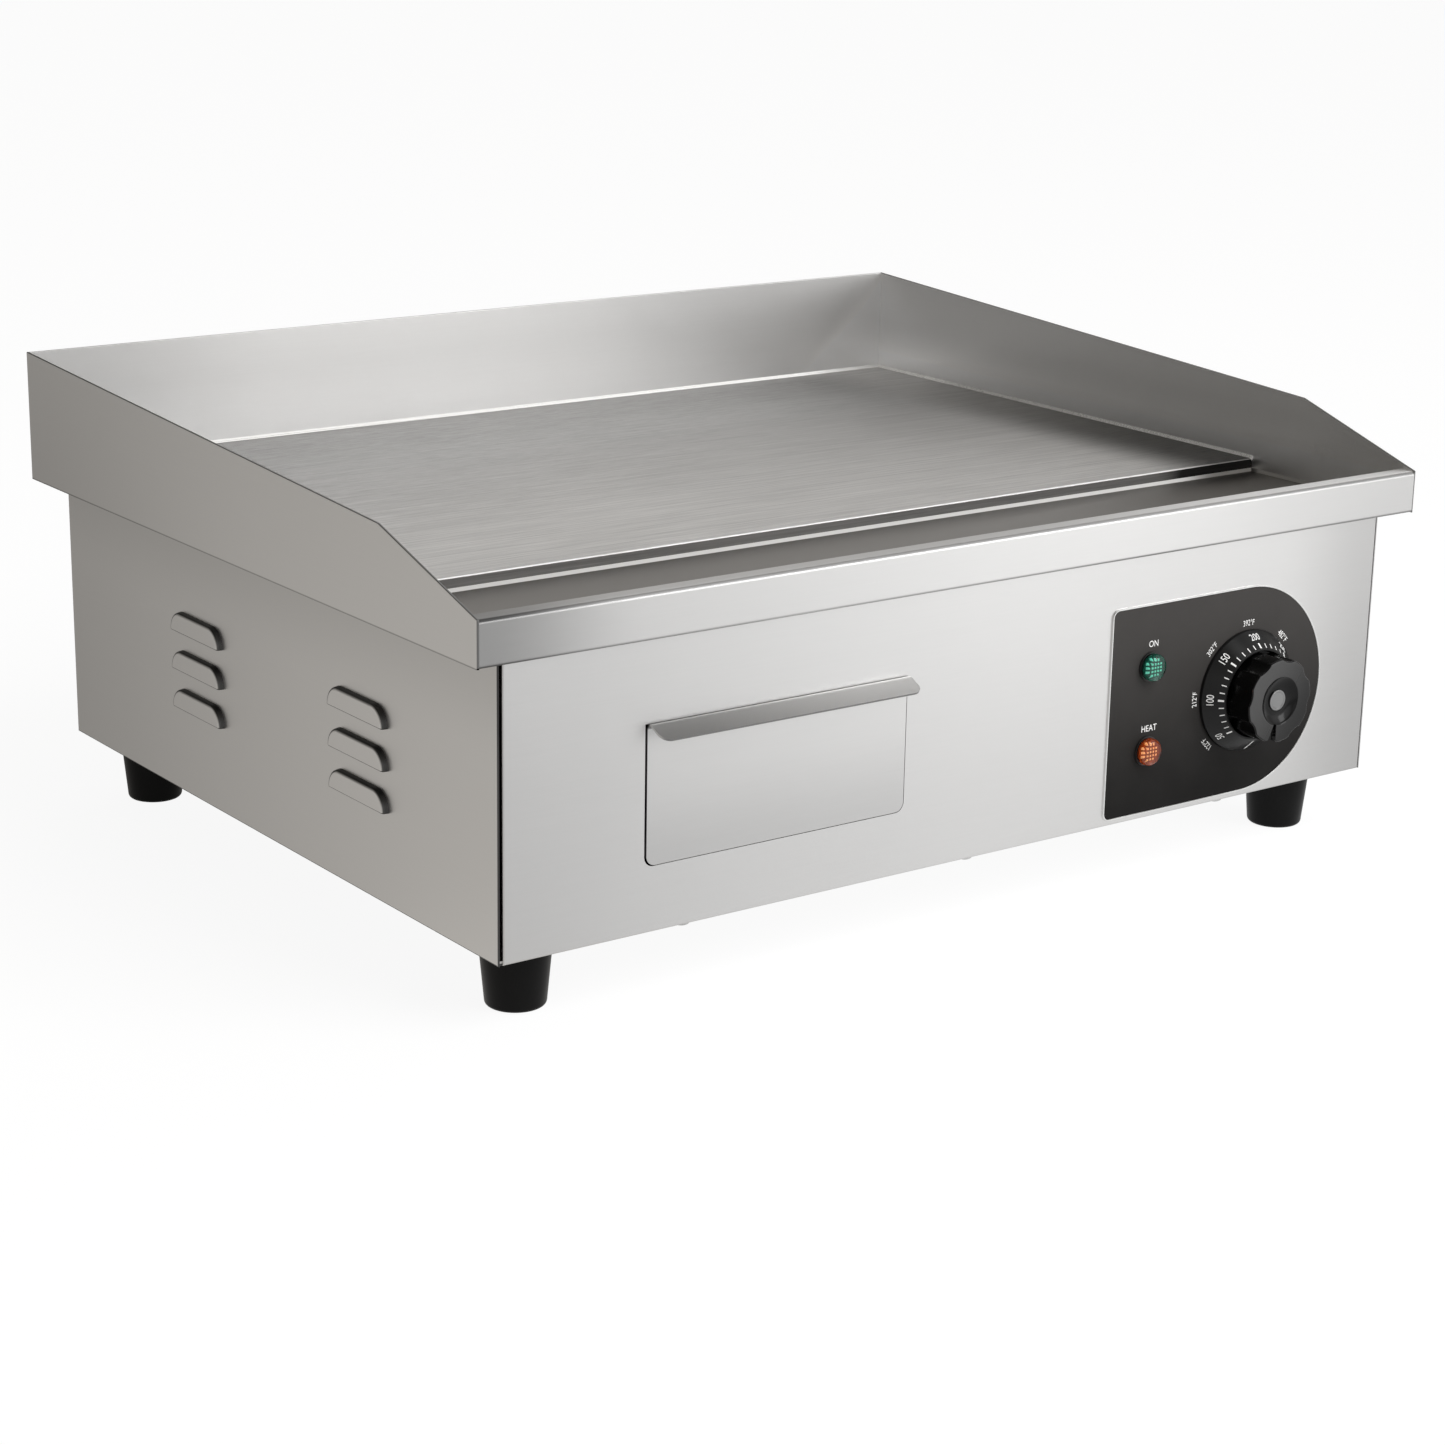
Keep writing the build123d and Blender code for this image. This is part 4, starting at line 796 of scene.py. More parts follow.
def guard_shade(tree):
    """A side guard: painted shade on its rounded edges, along its bottom edge and at the left rear.

    The inner face of the right guard has painted light, a reflection that is paler towards the plate.
    """
    bottom, plate_top = guard_low.z, plate_high.z
    inside = worked_out(
        tree, "MULTIPLY",
        ranged(tree, leaning(tree, LEFT), *guard_inner_lean, 0.0, 1.0),
        ranged(tree, position(tree, RIGHT), 0.0, plate_high.x, 0.0, 1.0),
    )
    height = position(tree, UP)
    pale = ranged(tree, height, plate_top, plate_top + guard_pale_height, guard_pale_gain, 0.0)
    return weighted_sum(tree, [
        worked_out(tree, "MULTIPLY", inside, pale),
        ranged(tree, facing(tree, RIGHT), *flat_lean, guard_edge_share, 1.0),
        ranged(tree, height, bottom, bottom + edge_line, guard_bottom_shade, 0.0),
        ranged(tree, position(tree, guard_rear_axis), *guard_rear_reach, 0.0, guard_rear_shade),
    ])


def back_shade(tree):
    """The back guard: on its inner face, painted light towards the plate and painted shade at its left end.

    In the right corner it is painted paler, as a painted reflection of the right guard.
    """
    bottom, left = plate_high.z, plate_low.x
    inside = ranged(tree, leaning(tree, FRONT), *back_inner_lean, 0.0, 1.0)
    gain = weighted_sum(tree, [
        ranged(tree, position(tree, UP), bottom, bottom + back_pale_height, back_pale_gain, 0.0),
        ranged(tree, position(tree, RIGHT), left, left + back_left_length, back_left_shade, 0.0),
        ranged(tree, position(tree, back_corner_axis), *back_corner_reach, 0.0, back_corner_gain),
    ])
    return worked_out(tree, "MULTIPLY_ADD", inside, gain, 1.0)


def front_shade(tree):
    """The front panel: painted shade makes it a little darker towards its right end."""
    right = panel_high.x
    return ranged(tree, position(tree, RIGHT), right - front_right_length, right, 1.0, front_right_share)


def lip_shade(tree):
    """The lip: painted shade at its left end, at its right end, on its rounded front edge and underneath.

    Painted light makes its top paler towards the right.
    """
    left = -plate_high.x
    level, along = leaning(tree, UP), position(tree, RIGHT)
    top = worked_out(
        tree, "MULTIPLY",
        ranged(tree, level, *lip_top_lean, 0.0, 1.0),
        ranged(tree, along, 0.0, lip_right_reach[1], *lip_top_gains),
    )
    return weighted_sum(tree, [
        ranged(tree, along, left, left + lip_left_shade_length, lip_left_shade_share, 1.0),
        ranged(tree, along, *lip_right_reach, 0.0, lip_right_shade),
        ranged(tree, level, *lip_edge_lean, 0.0, lip_edge_shade),
        top,
        ranged(tree, level, *lip_under_lean, lip_under_shade, 0.0),
    ])


def flap_shade(tree):
    """The drawer front: painted shade at its bottom and on the pull folded from its top.

    The painted shade on the pull is darkest at its left end and on its lower edge.
    """
    level, height = leaning(tree, UP), position(tree, UP)
    low, high = drawer_low, drawer_high
    pull = worked_out(
        tree, "MULTIPLY",
        ranged(tree, level, *pull_lean, 0.0, 1.0),
        ranged(tree, position(tree, RIGHT), low.x, high.x, *pull_shades),
    )
    return weighted_sum(tree, [
        pull,
        ranged(tree, level, *pull_under_lean, pull_under_share, 1.0),
        ranged(tree, height, low.z, low.z + drawer_bottom_height, drawer_bottom_shade, 0.0),
    ])


def plate_shade(tree):
    """Painted shade towards the rear of the plate, a painted highlight on its rounded edge and painted shade
    on its front face.

    Along the right guard a painted reflection of the guard: dark at the front, paler at the rear.
    """
    level, depth = facing(tree, UP), position(tree, REAR)
    front, rear = plate_low.y, plate_high.y
    start, end = (plate_high.x - reach for reach in plate_mirror_reach)
    mirrored = worked_out(
        tree, "MULTIPLY",
        ranged(tree, position(tree, RIGHT), start, end, 0.0, 1.0),
        ranged(tree, depth, front, rear, *plate_mirror_gains),
    )
    total = weighted_sum(tree, [
        mirrored,
        ranged(tree, depth, front, rear, 0.0, plate_rear_shade),
        ranged(tree, level, *plate_face_lean, plate_face_shade, plate_edge_gain),
        ranged(tree, level, *plate_top_lean, 1.0, 1.0 - plate_edge_gain),
    ])
    return worked_out(tree, "MAXIMUM", total, plate_least_share)


def moulded_material(name, base, spread, rough, bump, grains=2500.0, metallic=0.0, specular=0.5):
    """A moulded, cast or plated surface with fine grain."""
    found = bpy.data.materials.get(name)
    if found:
        return found
    material, tree, shader = fresh_material(name)
    shader.inputs["Metallic"].default_value = metallic
    shader.inputs["Specular IOR Level"].default_value = specular
    grain = add_group(tree, speckle_group(), Grains_per_metre=grains)
    tint(tree, grain.outputs["Tone"], shader, base, spread, rough)
    roughen(tree, grain.outputs["Height"], shader, bump)
    return material


def print_ink(look):
    """White ink of the numbers, marks and words."""
    return moulded_material(
        "White print", look.print_colour, spread=0.03, rough=(0.45, 0.55), bump=0.1, grains=4000,
    )


def plated_steel(trim):
    """Bright plating of the screws and nuts."""
    return moulded_material(
        "Plated steel", trim.fastener_colour, spread=0.06, rough=(0.26, 0.36), bump=0.2, grains=3000,
        metallic=1.0,
    )


def dress(names, material):
    """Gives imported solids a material."""
    for name in names:
        nodes[name].data.materials.clear()
        nodes[name].data.materials.append(material)


def in_slot(slot):
    """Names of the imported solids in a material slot."""
    return [name for name, own in node_slots.items() if own == slot]


# Operators

class GRIDDLE_OT_steel(bpy.types.Operator):
    """Give the sheets, the plate and the welds their brushed steel"""

    bl_idname = "griddle.steel"
    bl_label = "Steel sheets and plate"

    def execute(self, context):
        steel = context.scene.griddle_steel
        stroke = (steel.stroke_length, steel.stroke_width)
        # Each shading function paints light and shade into its sheet's colour.
        for name, along, shading, dressed in (
            ("Sheet brushed across", 0, None, in_slot("steel_sheet")),
            ("Side guard sheet", 1, guard_shade, ["left_guard", "right_guard"]),
            ("Drawer sheet", 0, flap_shade, ["drawer_front"]),
            ("Side panel sheet", 1, side_shade, ["left_side_panel", "right_side_panel"]),
            ("Rear panel sheet", 0, rear_shade, ["rear_panel"]),
            ("Lip sheet", 0, lip_shade, ["front_lip"]),
            ("Back guard sheet", 0, back_shade, ["back_guard"]),
            ("Front panel sheet", 0, front_shade, ["front_panel"]),
        ):
            tilt = [0.0 if axis == along else sheet_lean for axis in range(3)]
            sheet = steel_material(
                name, steel.sheet_colour, along, stroke, spread=0.02, rough=(0.35, 0.40),
                tilt=tilt, shading=shading,
            )
            dress(dressed, sheet)
        plate = steel_material(
            "Cooking plate", steel.plate_colour, 0, plate_stroke, spread=0.36, rough=(0.42, 0.50),
            tilt=(0, plate_lean, 0), drift_share=0.15, shading=plate_shade,
        )
        dress(in_slot("plate_steel"), plate)
        for name, base, along, spread, rough, metallic, dressed in (
            # The trough's dark colour is painted shade of the recess.
            ("Trough sheet", steel.trough_colour, 0, 0.05, (0.28, 0.36), 1.0, ["grease_trough"]),
            ("Trough bead", steel.weld_colour, 0, 0.03, (0.28, 0.36), 1.0, ["trough_weld"]),
            # The seam is pale and only part metal, so that it shows a painted highlight.
            ("Plate seam", steel.seam_colour, 0, 0.04, (0.24, 0.32), 0.35, ["plate_weld"]),
            ("Inner sheet", steel.inner_colour, 1, 0.04, (0.34, 0.46), 1.0, in_slot("inner_steel")),
        ):
            dress(dressed, steel_material(name, base, along, stroke, spread, rough, metallic=metallic))
        return {"FINISHED"}


class GRIDDLE_OT_inner(bpy.types.Operator):
    """Give the pieces inside the casing, the fasteners and the mouldings their finishes"""

    bl_idname = "griddle.inner"
    bl_label = "Inner pieces and fasteners"

    def execute(self, context):
        trim = context.scene.griddle_trim
        dress(in_slot("fastener"), plated_steel(trim))
        # Slot, name, colour, spread of the colour, roughness, bump, grains per metre and metallic
        for slot, name, *finish in (
            ("foot_rubber", "Seal rubber", trim.rubber_colour, 0.25, (0.42, 0.55), 0.3),
            ("moulded_black", "Black moulding", trim.moulding_colour, 0.2, (0.32, 0.45), 0.3),
            ("element_sheath", "Element sheath", (0.16, 0.15, 0.14), 0.3, (0.4, 0.6), 0.4, 800, 1.0),
            ("ceramic", "White ceramic", (0.82, 0.80, 0.75), 0.05, (0.3, 0.5), 0.3),
            ("insulation", "Mineral wool", (0.78, 0.75, 0.66), 0.15, (0.85, 0.95), 1.0, 700),
            ("copper", "Copper", (0.80, 0.45, 0.28), 0.1, (0.25, 0.4), 0.2, 1500, 1.0),
            ("lead_sleeve", "Braided sleeve", (0.5, 0.07, 0.05), 0.2, (0.6, 0.75), 0.8, 1800),
        ):
            dress(in_slot(slot), moulded_material(name, *finish))
        return {"FINISHED"}


class GRIDDLE_OT_controls(bpy.types.Operator):
    """Give the overlay, the bezel, the knob and the lamps their finishes"""

    bl_idname = "griddle.controls"
    bl_label = "Control panel"

    def execute(self, context):
        look = context.scene.griddle_controls
        overlay = self.film(look.overlay_colour)
        dial = moulded_material(
            "Dial moulding", look.dial_colour, spread=0.15, rough=(0.22, 0.30), bump=0.15, grains=3000,
        )
        dress(in_slot("overlay_black"), overlay)
        dress(in_slot("dial_black"), dial)
        return {"FINISHED"}

    def film(self, base):
        """A satin film with painted light that makes it paler towards its top."""
        material, tree, shader = fresh_material("Overlay film")
        shader.inputs["Specular IOR Level"].default_value = 0.08
        grain = add_group(tree, speckle_group(), Grains_per_metre=4000.0)
        # Painted light: the colour grows paler towards the overlay's top.
        top_light = ranged(tree, position(tree, UP), overlay_low.z, overlay_high.z, *tone_range)
        tone = blended(tree, 0.15, top_light, grain.outputs["Tone"])
        tint(tree, tone, shader, base, 0.80, (0.40, 0.44))
        roughen(tree, grain.outputs["Height"], shader, 0.15)
        return material


class GRIDDLE_OT_print(bpy.types.Operator):
    """Edge the overlay and print the second scale and the lamp words on it"""

    bl_idname = "griddle.print"
    bl_label = "Overlay edge and print"

    def execute(self, context):
        look = context.scene.griddle_controls
        left, right = overlay_low.x, overlay_high.x
        bottom, top = overlay_low.z, overlay_high.z
        thick, round_end = panel_y - overlay_front, (top - bottom) / 2 - 1e-5
        path = rounded_outline(
            [(left, bottom), (right, bottom), (right, top), (left, top)],
            [overlay_corner, round_end, round_end, overlay_corner], steps=28,
        )
        # A pale steel bead round the overlay's edge: a painted highlight along the edge.
        bead = overlay_edge_section * (1, thick / overlay_sheet)
        bright = steel_material(
            "Bright edge", (0.92, 0.92, 0.91), 0, overlay_edge_stroke, spread=0.02, rough=(0.3, 0.4),
        )
        make_piece("overlay_edge", carried(bead, path), bright, fixed_body)
        ink = print_ink(look)
        parts = []
        for mark, angle in zip(scale_marks, scale_angles):
            words = f"{round(32 + 1.8 * mark)}\u00b0F"
            part = letter_part(words, look.panel_letter, letter_squeeze, print_relief)
            parts.append(on_dial(part, second_scale_radius, angle, 0.0, thick))
        for words, lamp in (("ON", "power_lamp_lens"), ("HEAT", "heat_lamp_lens")):
            low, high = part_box(lamp)
            part = letter_part(words, look.panel_letter, word_squeeze, print_relief)
            parts.append(on_panel(part, (low.x + high.x) / 2 + word_shift, high.z + word_gap))
        make_piece("overlay_print", joined(parts), ink, fixed_body)
        return {"FINISHED"}


class GRIDDLE_OT_bezel(bpy.types.Operator):
    """Turn the bezel and print its scale"""

    bl_idname = "griddle.bezel"
    bl_label = "Bezel and scale"

    def execute(self, context):
        look = context.scene.griddle_controls
        seat, rim, brow = panel_y - overlay_front, bezel_rim, panel_y - bezel_low.y
        radius = (bezel_high.x - bezel_low.x) / 2
        outline = rounded_outline(
            [(bezel_bore, seat), (bezel_bore, brow), (bezel_brow_radius, brow),
             (radius, rim), (radius, seat)],
            [0, *bezel_rounds, 0],
        )
        ring = turned(outline, (dial_x, panel_y, dial_z), RIGHT, UP, 160)
        satin = moulded_material(
            "Bezel moulding", look.dial_colour, spread=0.15, rough=(0.26, 0.34), bump=0.05, grains=3000,
            specular=0.25,
        )
        make_piece("bezel_ring", ring, satin, fixed_body, ["dial_bezel"])
        slope = math.atan2(brow - rim, radius - bezel_brow_radius)

        def on_cone(part, middle, angle):
            """A part wrapped round the cone, which rises by tan(slope) for each step inwards."""
            return on_dial(part, middle, angle, slope, rim + (radius - middle) * math.tan(slope))

        parts = []
        for mark, angle in zip(scale_marks, scale_angles):
            letters = letter_part(str(mark), look.scale_letter, letter_squeeze, print_relief)
            parts.append(on_cone(letters, numeral_radius, angle))
        steps = np.arange((len(scale_marks) - 1) * look.steps_per_mark + 1)
        turns = scale_angles[0] + (scale_angles[1] - scale_angles[0]) * steps / look.steps_per_mark
        for step, angle in zip(steps, turns):
            long, wide = major_tick if step % look.steps_per_mark == 0 else minor_tick
            middle = tick_radius + long / 2 * math.cos(slope)
            parts.append(on_cone(bar_part(long, wide, print_relief), middle, angle))
        parts.append(on_cone(bar_part(*off_line, print_relief), off_line_radius, off_angle))
        ink = print_ink(look)
        make_piece("bezel_scale", joined(parts), ink, fixed_body)
        return {"FINISHED"}


class GRIDDLE_OT_knob(bpy.types.Operator):
    """Make the fluted knob with its pointer and the plain disc in its hub"""

    bl_idname = "griddle.knob"
    bl_label = "Knob"

    def execute(self, context):
        look = context.scene.griddle_controls
        black = self.two_tone(look.dial_colour)
        make_piece("fluted_knob", self.knob(), black, knob_body, ["knob"], crease=40.0)
        low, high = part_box("knob_cap")
        radius, thick = (high.x - low.x) / 2, high.y - low.y
        rounds = [0, 0, hub_disc_round * thick, 0, 0, 0]
        outline = rounded_outline(hub_disc_section * (radius, thick), rounds)
        disc = turned(outline, (dial_x, high.y, dial_z), RIGHT, UP, 64)
        grey = moulded_material(
            "Hub disc", (0.30, 0.30, 0.30), spread=0.05, rough=(0.28, 0.36), bump=0.1, grains=3000,
            metallic=1.0,
        )
        make_piece("hub_disc", disc, grey, knob_body, ["knob_cap"])
        return {"FINISHED"}

    def two_tone(self, base):
        """Black moulding, glossy on the flank and satin on the face, with painted shade in the pointer and
        the hub.

        Painted light and shade make the face paler at its upper left than at its lower right.
        """
        material, tree, shader = fresh_material("Knob moulding")
        grain = add_group(tree, speckle_group(), Grains_per_metre=3000.0)
        middle = Vector(knob_light_axis).dot((dial_x, 0, dial_z))
        start, end = middle - knob_radius, middle + knob_radius
        face = knob_low.y
        level = weighted_sum(tree, [
            ranged(tree, position(tree, knob_light_axis), start, end, 0.0, knob_face_shade),
            ranged(tree, facing(tree, REAR), *knob_face_lean, *tone_range),
            ranged(tree, position(tree, REAR), face, face + pointer_depth, 0.0, pointer_shade),
        ])
        shader.inputs["Specular IOR Level"].default_value = 0.25
        tint(tree, level, shader, [knob_paleness * c for c in base], knob_spread, (0.14, 0.40))
        roughen(tree, grain.outputs["Height"], shader, 0.02)
        return material

    def knob(self):
        """Rows of a turned outline, fluted above the skirt, with a wedge pressed into the face.

        The flutes are circles whose centres stand round the knob: at an angle d from a flute's middle the
        radius is c cos d - sqrt(f f - c c sin d sin d), where that is less than the plain radius.
        The wedge lowers the face where the distance from the pointer's line is under its half width.
        """
        radius = knob_radius
        foot, front = panel_y - knob_high.y, panel_y - knob_low.y
        edge = np.linspace(0, math.pi / 2, 6)
        bowl = np.linspace(1, 0, 12)[1:]
        brow, drop = hub_brow_drops
        rows = [
            (knob_bore, foot),
            (radius - knob_foot_round, foot),
            (radius, foot + knob_foot_round),
            (radius, foot + knob_skirt),
            (radius, foot + knob_skirt + knob_skirt_step),
            (radius, front - knob_edge_round),
            *zip(radius - knob_edge_round * (1 - np.cos(edge)), front - knob_edge_round * (1 - np.sin(edge))),
            *((r, front) for r in np.linspace(radius - knob_face_edge, hub_radius + hub_brow, 14)),
            (hub_radius + hub_brow / 2, front - brow),
            (hub_radius, front - drop),
            *zip(hub_floor + (hub_radius - hub_floor) * bowl,
                 front - hub_depth + (hub_depth - drop) * bowl ** 2),
            (knob_bore, front - hub_depth),
            (knob_bore, foot),
        ]
        rows = np.array(rows)
        angle = np.linspace(0, 2 * math.pi, 480, endpoint=False)[None]
        pitch = 2 * math.pi / knob_flutes
        apart = np.mod(angle - pointer_angle + pitch / 2, pitch) - pitch / 2
        ring = radius - flute_depth + flute_radius
        root = np.sqrt(np.clip(flute_radius ** 2 - (ring * np.sin(apart)) ** 2, 0, None))
        fluted = np.where(root > 0, np.minimum(radius, ring * np.cos(apart) - root), radius)
        above = rows[:, 1] > foot + knob_skirt
        outer = np.clip((rows[:, 0] - hub_radius) / (radius - hub_radius), 0, 1) * above
        reach = rows[:, :1] + outer[:, None] * (fluted - radius)
        out = np.repeat(rows[:, 1:], angle.shape[1], axis=1)
        aside = np.abs(reach * np.sin(angle - pointer_angle))
        ahead = np.cos(angle - pointer_angle) > 0
        share = np.clip((reach - hub_radius) / (radius - hub_radius), 0, 1)
        half = (pointer_widths[0] + (pointer_widths[1] - pointer_widths[0]) * share) / 2
        cut = np.clip((half - aside) / pointer_wall + 0.5, 0, 1) * ahead
        cut = cut * np.clip((reach - hub_radius) / pointer_root, 0, 1)
        below = rows[:, 1:] < front - pointer_depth
        out = np.minimum(out, front - pointer_depth * cut + below * pointer_depth)
        points = np.stack([
            dial_x + reach * np.cos(angle),
            panel_y - out,
            dial_z + reach * np.sin(angle),
        ], axis=-1)
        return grid_part(points, wrap_columns=True)


class GRIDDLE_OT_lamps(bpy.types.Operator):
    """Make the clear coloured lenses with the facets behind them"""

    bl_idname = "griddle.lamps"
    bl_label = "Lamp lenses"

    def execute(self, context):
        look = context.scene.griddle_controls
        for use, shade in (("power", look.power_colour), ("heat", look.heat_colour)):
            self.make_lens(use, shade)
        return {"FINISHED"}

    def make_lens(self, use, shade):
        """A turned dome, and a grid of small pyramids on a disc inside it."""
        node = f"{use}_lamp_lens"
        low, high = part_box(node)
        centre = ((low.x + high.x) / 2, high.y, (low.z + high.z) / 2)
        radius, height = (high.x - low.x) / 2, high.y - low.y
        outline = rounded_outline(
            [(0, 0), (radius, 0), (radius, height - lens_brow), (radius * lens_crown, height), (0, height)],
            [0, 0, *lens_rounds, 0], steps=8,
        )
        glass, tree, shader = fresh_material(f"Lens {use}")
        shader.inputs["Transmission Weight"].default_value = 1.0
        shader.inputs["IOR"].default_value = 1.49
        shader.inputs["Specular IOR Level"].default_value = 1.0
        grain = add_group(tree, speckle_group(), Grains_per_metre=900.0)
        tint_glass = [lens_paleness + (1 - lens_paleness) * c for c in shade]
        tint(tree, grain.outputs["Tone"], shader, tint_glass, 0.06, (0.03, 0.06))
        dome = turned(outline, centre, RIGHT, UP, 48)
        make_piece(f"{use}_lens", dome, glass, fixed_body, [node], crease=60.0)
        reach, (under, over) = radius * lens_floor_share, lens_floor_heights
        floor = np.array([(0, under), (reach, under), (reach, over), (0, over)])
        disc = turned(floor, centre, RIGHT, UP, 40)
        deep = moulded_material(
            f"Lens floor {use}", [lens_floor_dulling * c for c in shade], spread=0.2, rough=(0.2, 0.3),
            bump=0.0, grains=900,
        )
        make_piece(f"{use}_lens_floor", disc, deep, fixed_body)
        line = (np.arange(facet_rows) - facet_rows // 2) * facet_pitch
        xs, zs = (axis.ravel() for axis in np.meshgrid(line, line))
        inside = np.hypot(xs, zs) < radius * facet_field
        square = np.array([(-1, 0, -1), (1, 0, -1), (1, 0, 1), (-1, 0, 1)])
        base = np.vstack([square, square * facet_tip + (0, -1, 0)]) * facet_half
        places = np.stack([xs[inside], np.full(inside.sum(), -facet_seat), zs[inside]], axis=-1)
        points = np.asarray(centre) + places[:, None] + base[None]
        sides = np.array([(0, 1, 5, 4), (1, 2, 6, 5), (2, 3, 7, 6), (3, 0, 4, 7), (4, 5, 6, 7), (3, 2, 1, 0)])
        faces = (np.arange(len(places))[:, None, None] * len(base) + sides[None]).reshape(-1, 4).tolist()
        lit = [min(1.0, facet_paleness + facet_gain * c) for c in shade]
        glint = moulded_material(
            f"Facets {use}", lit, spread=0.1, rough=(0.2, 0.3), bump=0.0, grains=900,
        )
        glow = glint.node_tree.nodes["Principled BSDF"]
        glow.inputs["Emission Color"].default_value = colour(lit)
        glow.inputs["Emission Strength"].default_value = facet_glow
        make_piece(f"{use}_facets", (points.reshape(-1, 3), faces), glint, fixed_body, crease=20.0)


class GRIDDLE_OT_feet(bpy.types.Operator):
    """Turn the four tapered rubber feet"""

    bl_idname = "griddle.feet"
    bl_label = "Feet"

    def execute(self, context):
        rubber = moulded_material(
            "Black rubber", context.scene.griddle_trim.rubber_colour,
            spread=0.25, rough=(0.30, 0.38), bump=0.2, specular=0.15,
        )
        pocket, bottom, shoulder, ceiling = foot_rounds
        for node in [n for n in nodes if n.endswith("_foot")]:
            low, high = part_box(node)
            top = (high.x - low.x) / 2
            height = high.z - low.z
            outline = rounded_outline(
                [(foot_pocket, 0), (foot_bottom, 0), (top, height), (foot_hole, height),
                 (foot_hole, foot_ceiling), (foot_pocket, foot_ceiling)],
                [pocket, bottom, shoulder, 0, 0, ceiling], steps=7,
            )
            centre = ((low.x + high.x) / 2, (low.y + high.y) / 2, low.z)
            shape = turned(outline, centre, RIGHT, REAR, 72)
            make_piece(f"{node}_rubber", shape, rubber, fixed_body, [node])
        return {"FINISHED"}


class GRIDDLE_OT_screws(bpy.types.Operator):
    """Make the pan head screws under the base and on the rear"""

    bl_idname = "griddle.screws"
    bl_label = "Panel screws"

    def execute(self, context):
        plated = plated_steel(context.scene.griddle_trim)
        low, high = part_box("panel_screws")
        base_z, rear_y = low.z + screw_head_height, high.y - screw_head_height
        parts = [
            self.screw((x, y, base_z), RIGHT, FRONT, base_screw_length)
            for x in base_screw_xs for y in base_screw_ys
        ]
        parts += [
            self.screw((x, rear_y, z), LEFT, UP, rear_screw_length)
            for x in (-rear_screw_x, rear_screw_x) for z in rear_screw_zs
        ]
        screws = joined(parts)
        make_piece("panel_screw_set", screws, plated, fixed_body, ["panel_screws"], crease=50.0)
        return {"FINISHED"}

    def screw(self, centre, across, up, length):
        """A domed head with a cross recess, over a plain shank.

        On the head the height is an ellipse of the radius, less a cross: full depth within half an arm's
        width of either axis and up to the arm's length, with soft edges.
        """
        radius = np.linspace(0, screw_head_radius, 25)[:, None]
        angle = np.linspace(0, 2 * math.pi, 96, endpoint=False)[None]
        dome = screw_head_height * np.sqrt(1 - (radius / (screw_dome * screw_head_radius)) ** 2)
        aside = radius * np.minimum(np.abs(np.sin(angle)), np.abs(np.cos(angle)))
        arm = np.clip((cross_half_width - aside) / cross_wall + 0.5, 0, 1)
        end = np.clip((cross_reach - radius) / cross_end + 0.5, 0, 1)
        height = dome - cross_depth * arm * end * (1 - cross_rise * radius / cross_reach)
        tail = np.array([(screw_head_radius, 0), (screw_shank, 0), (screw_shank, -length), (0, -length)])
        radius = np.vstack([radius, tail[:, :1]])
        height = np.vstack([height, np.repeat(tail[:, 1:], angle.shape[1], axis=1)])
        across, up = np.asarray(across, float), np.asarray(up, float)
        ring = np.cos(angle)[..., None] * across + np.sin(angle)[..., None] * up
        points = np.asarray(centre) + radius[..., None] * ring + height[..., None] * np.cross(across, up)
        return grid_part(points, wrap_columns=True)


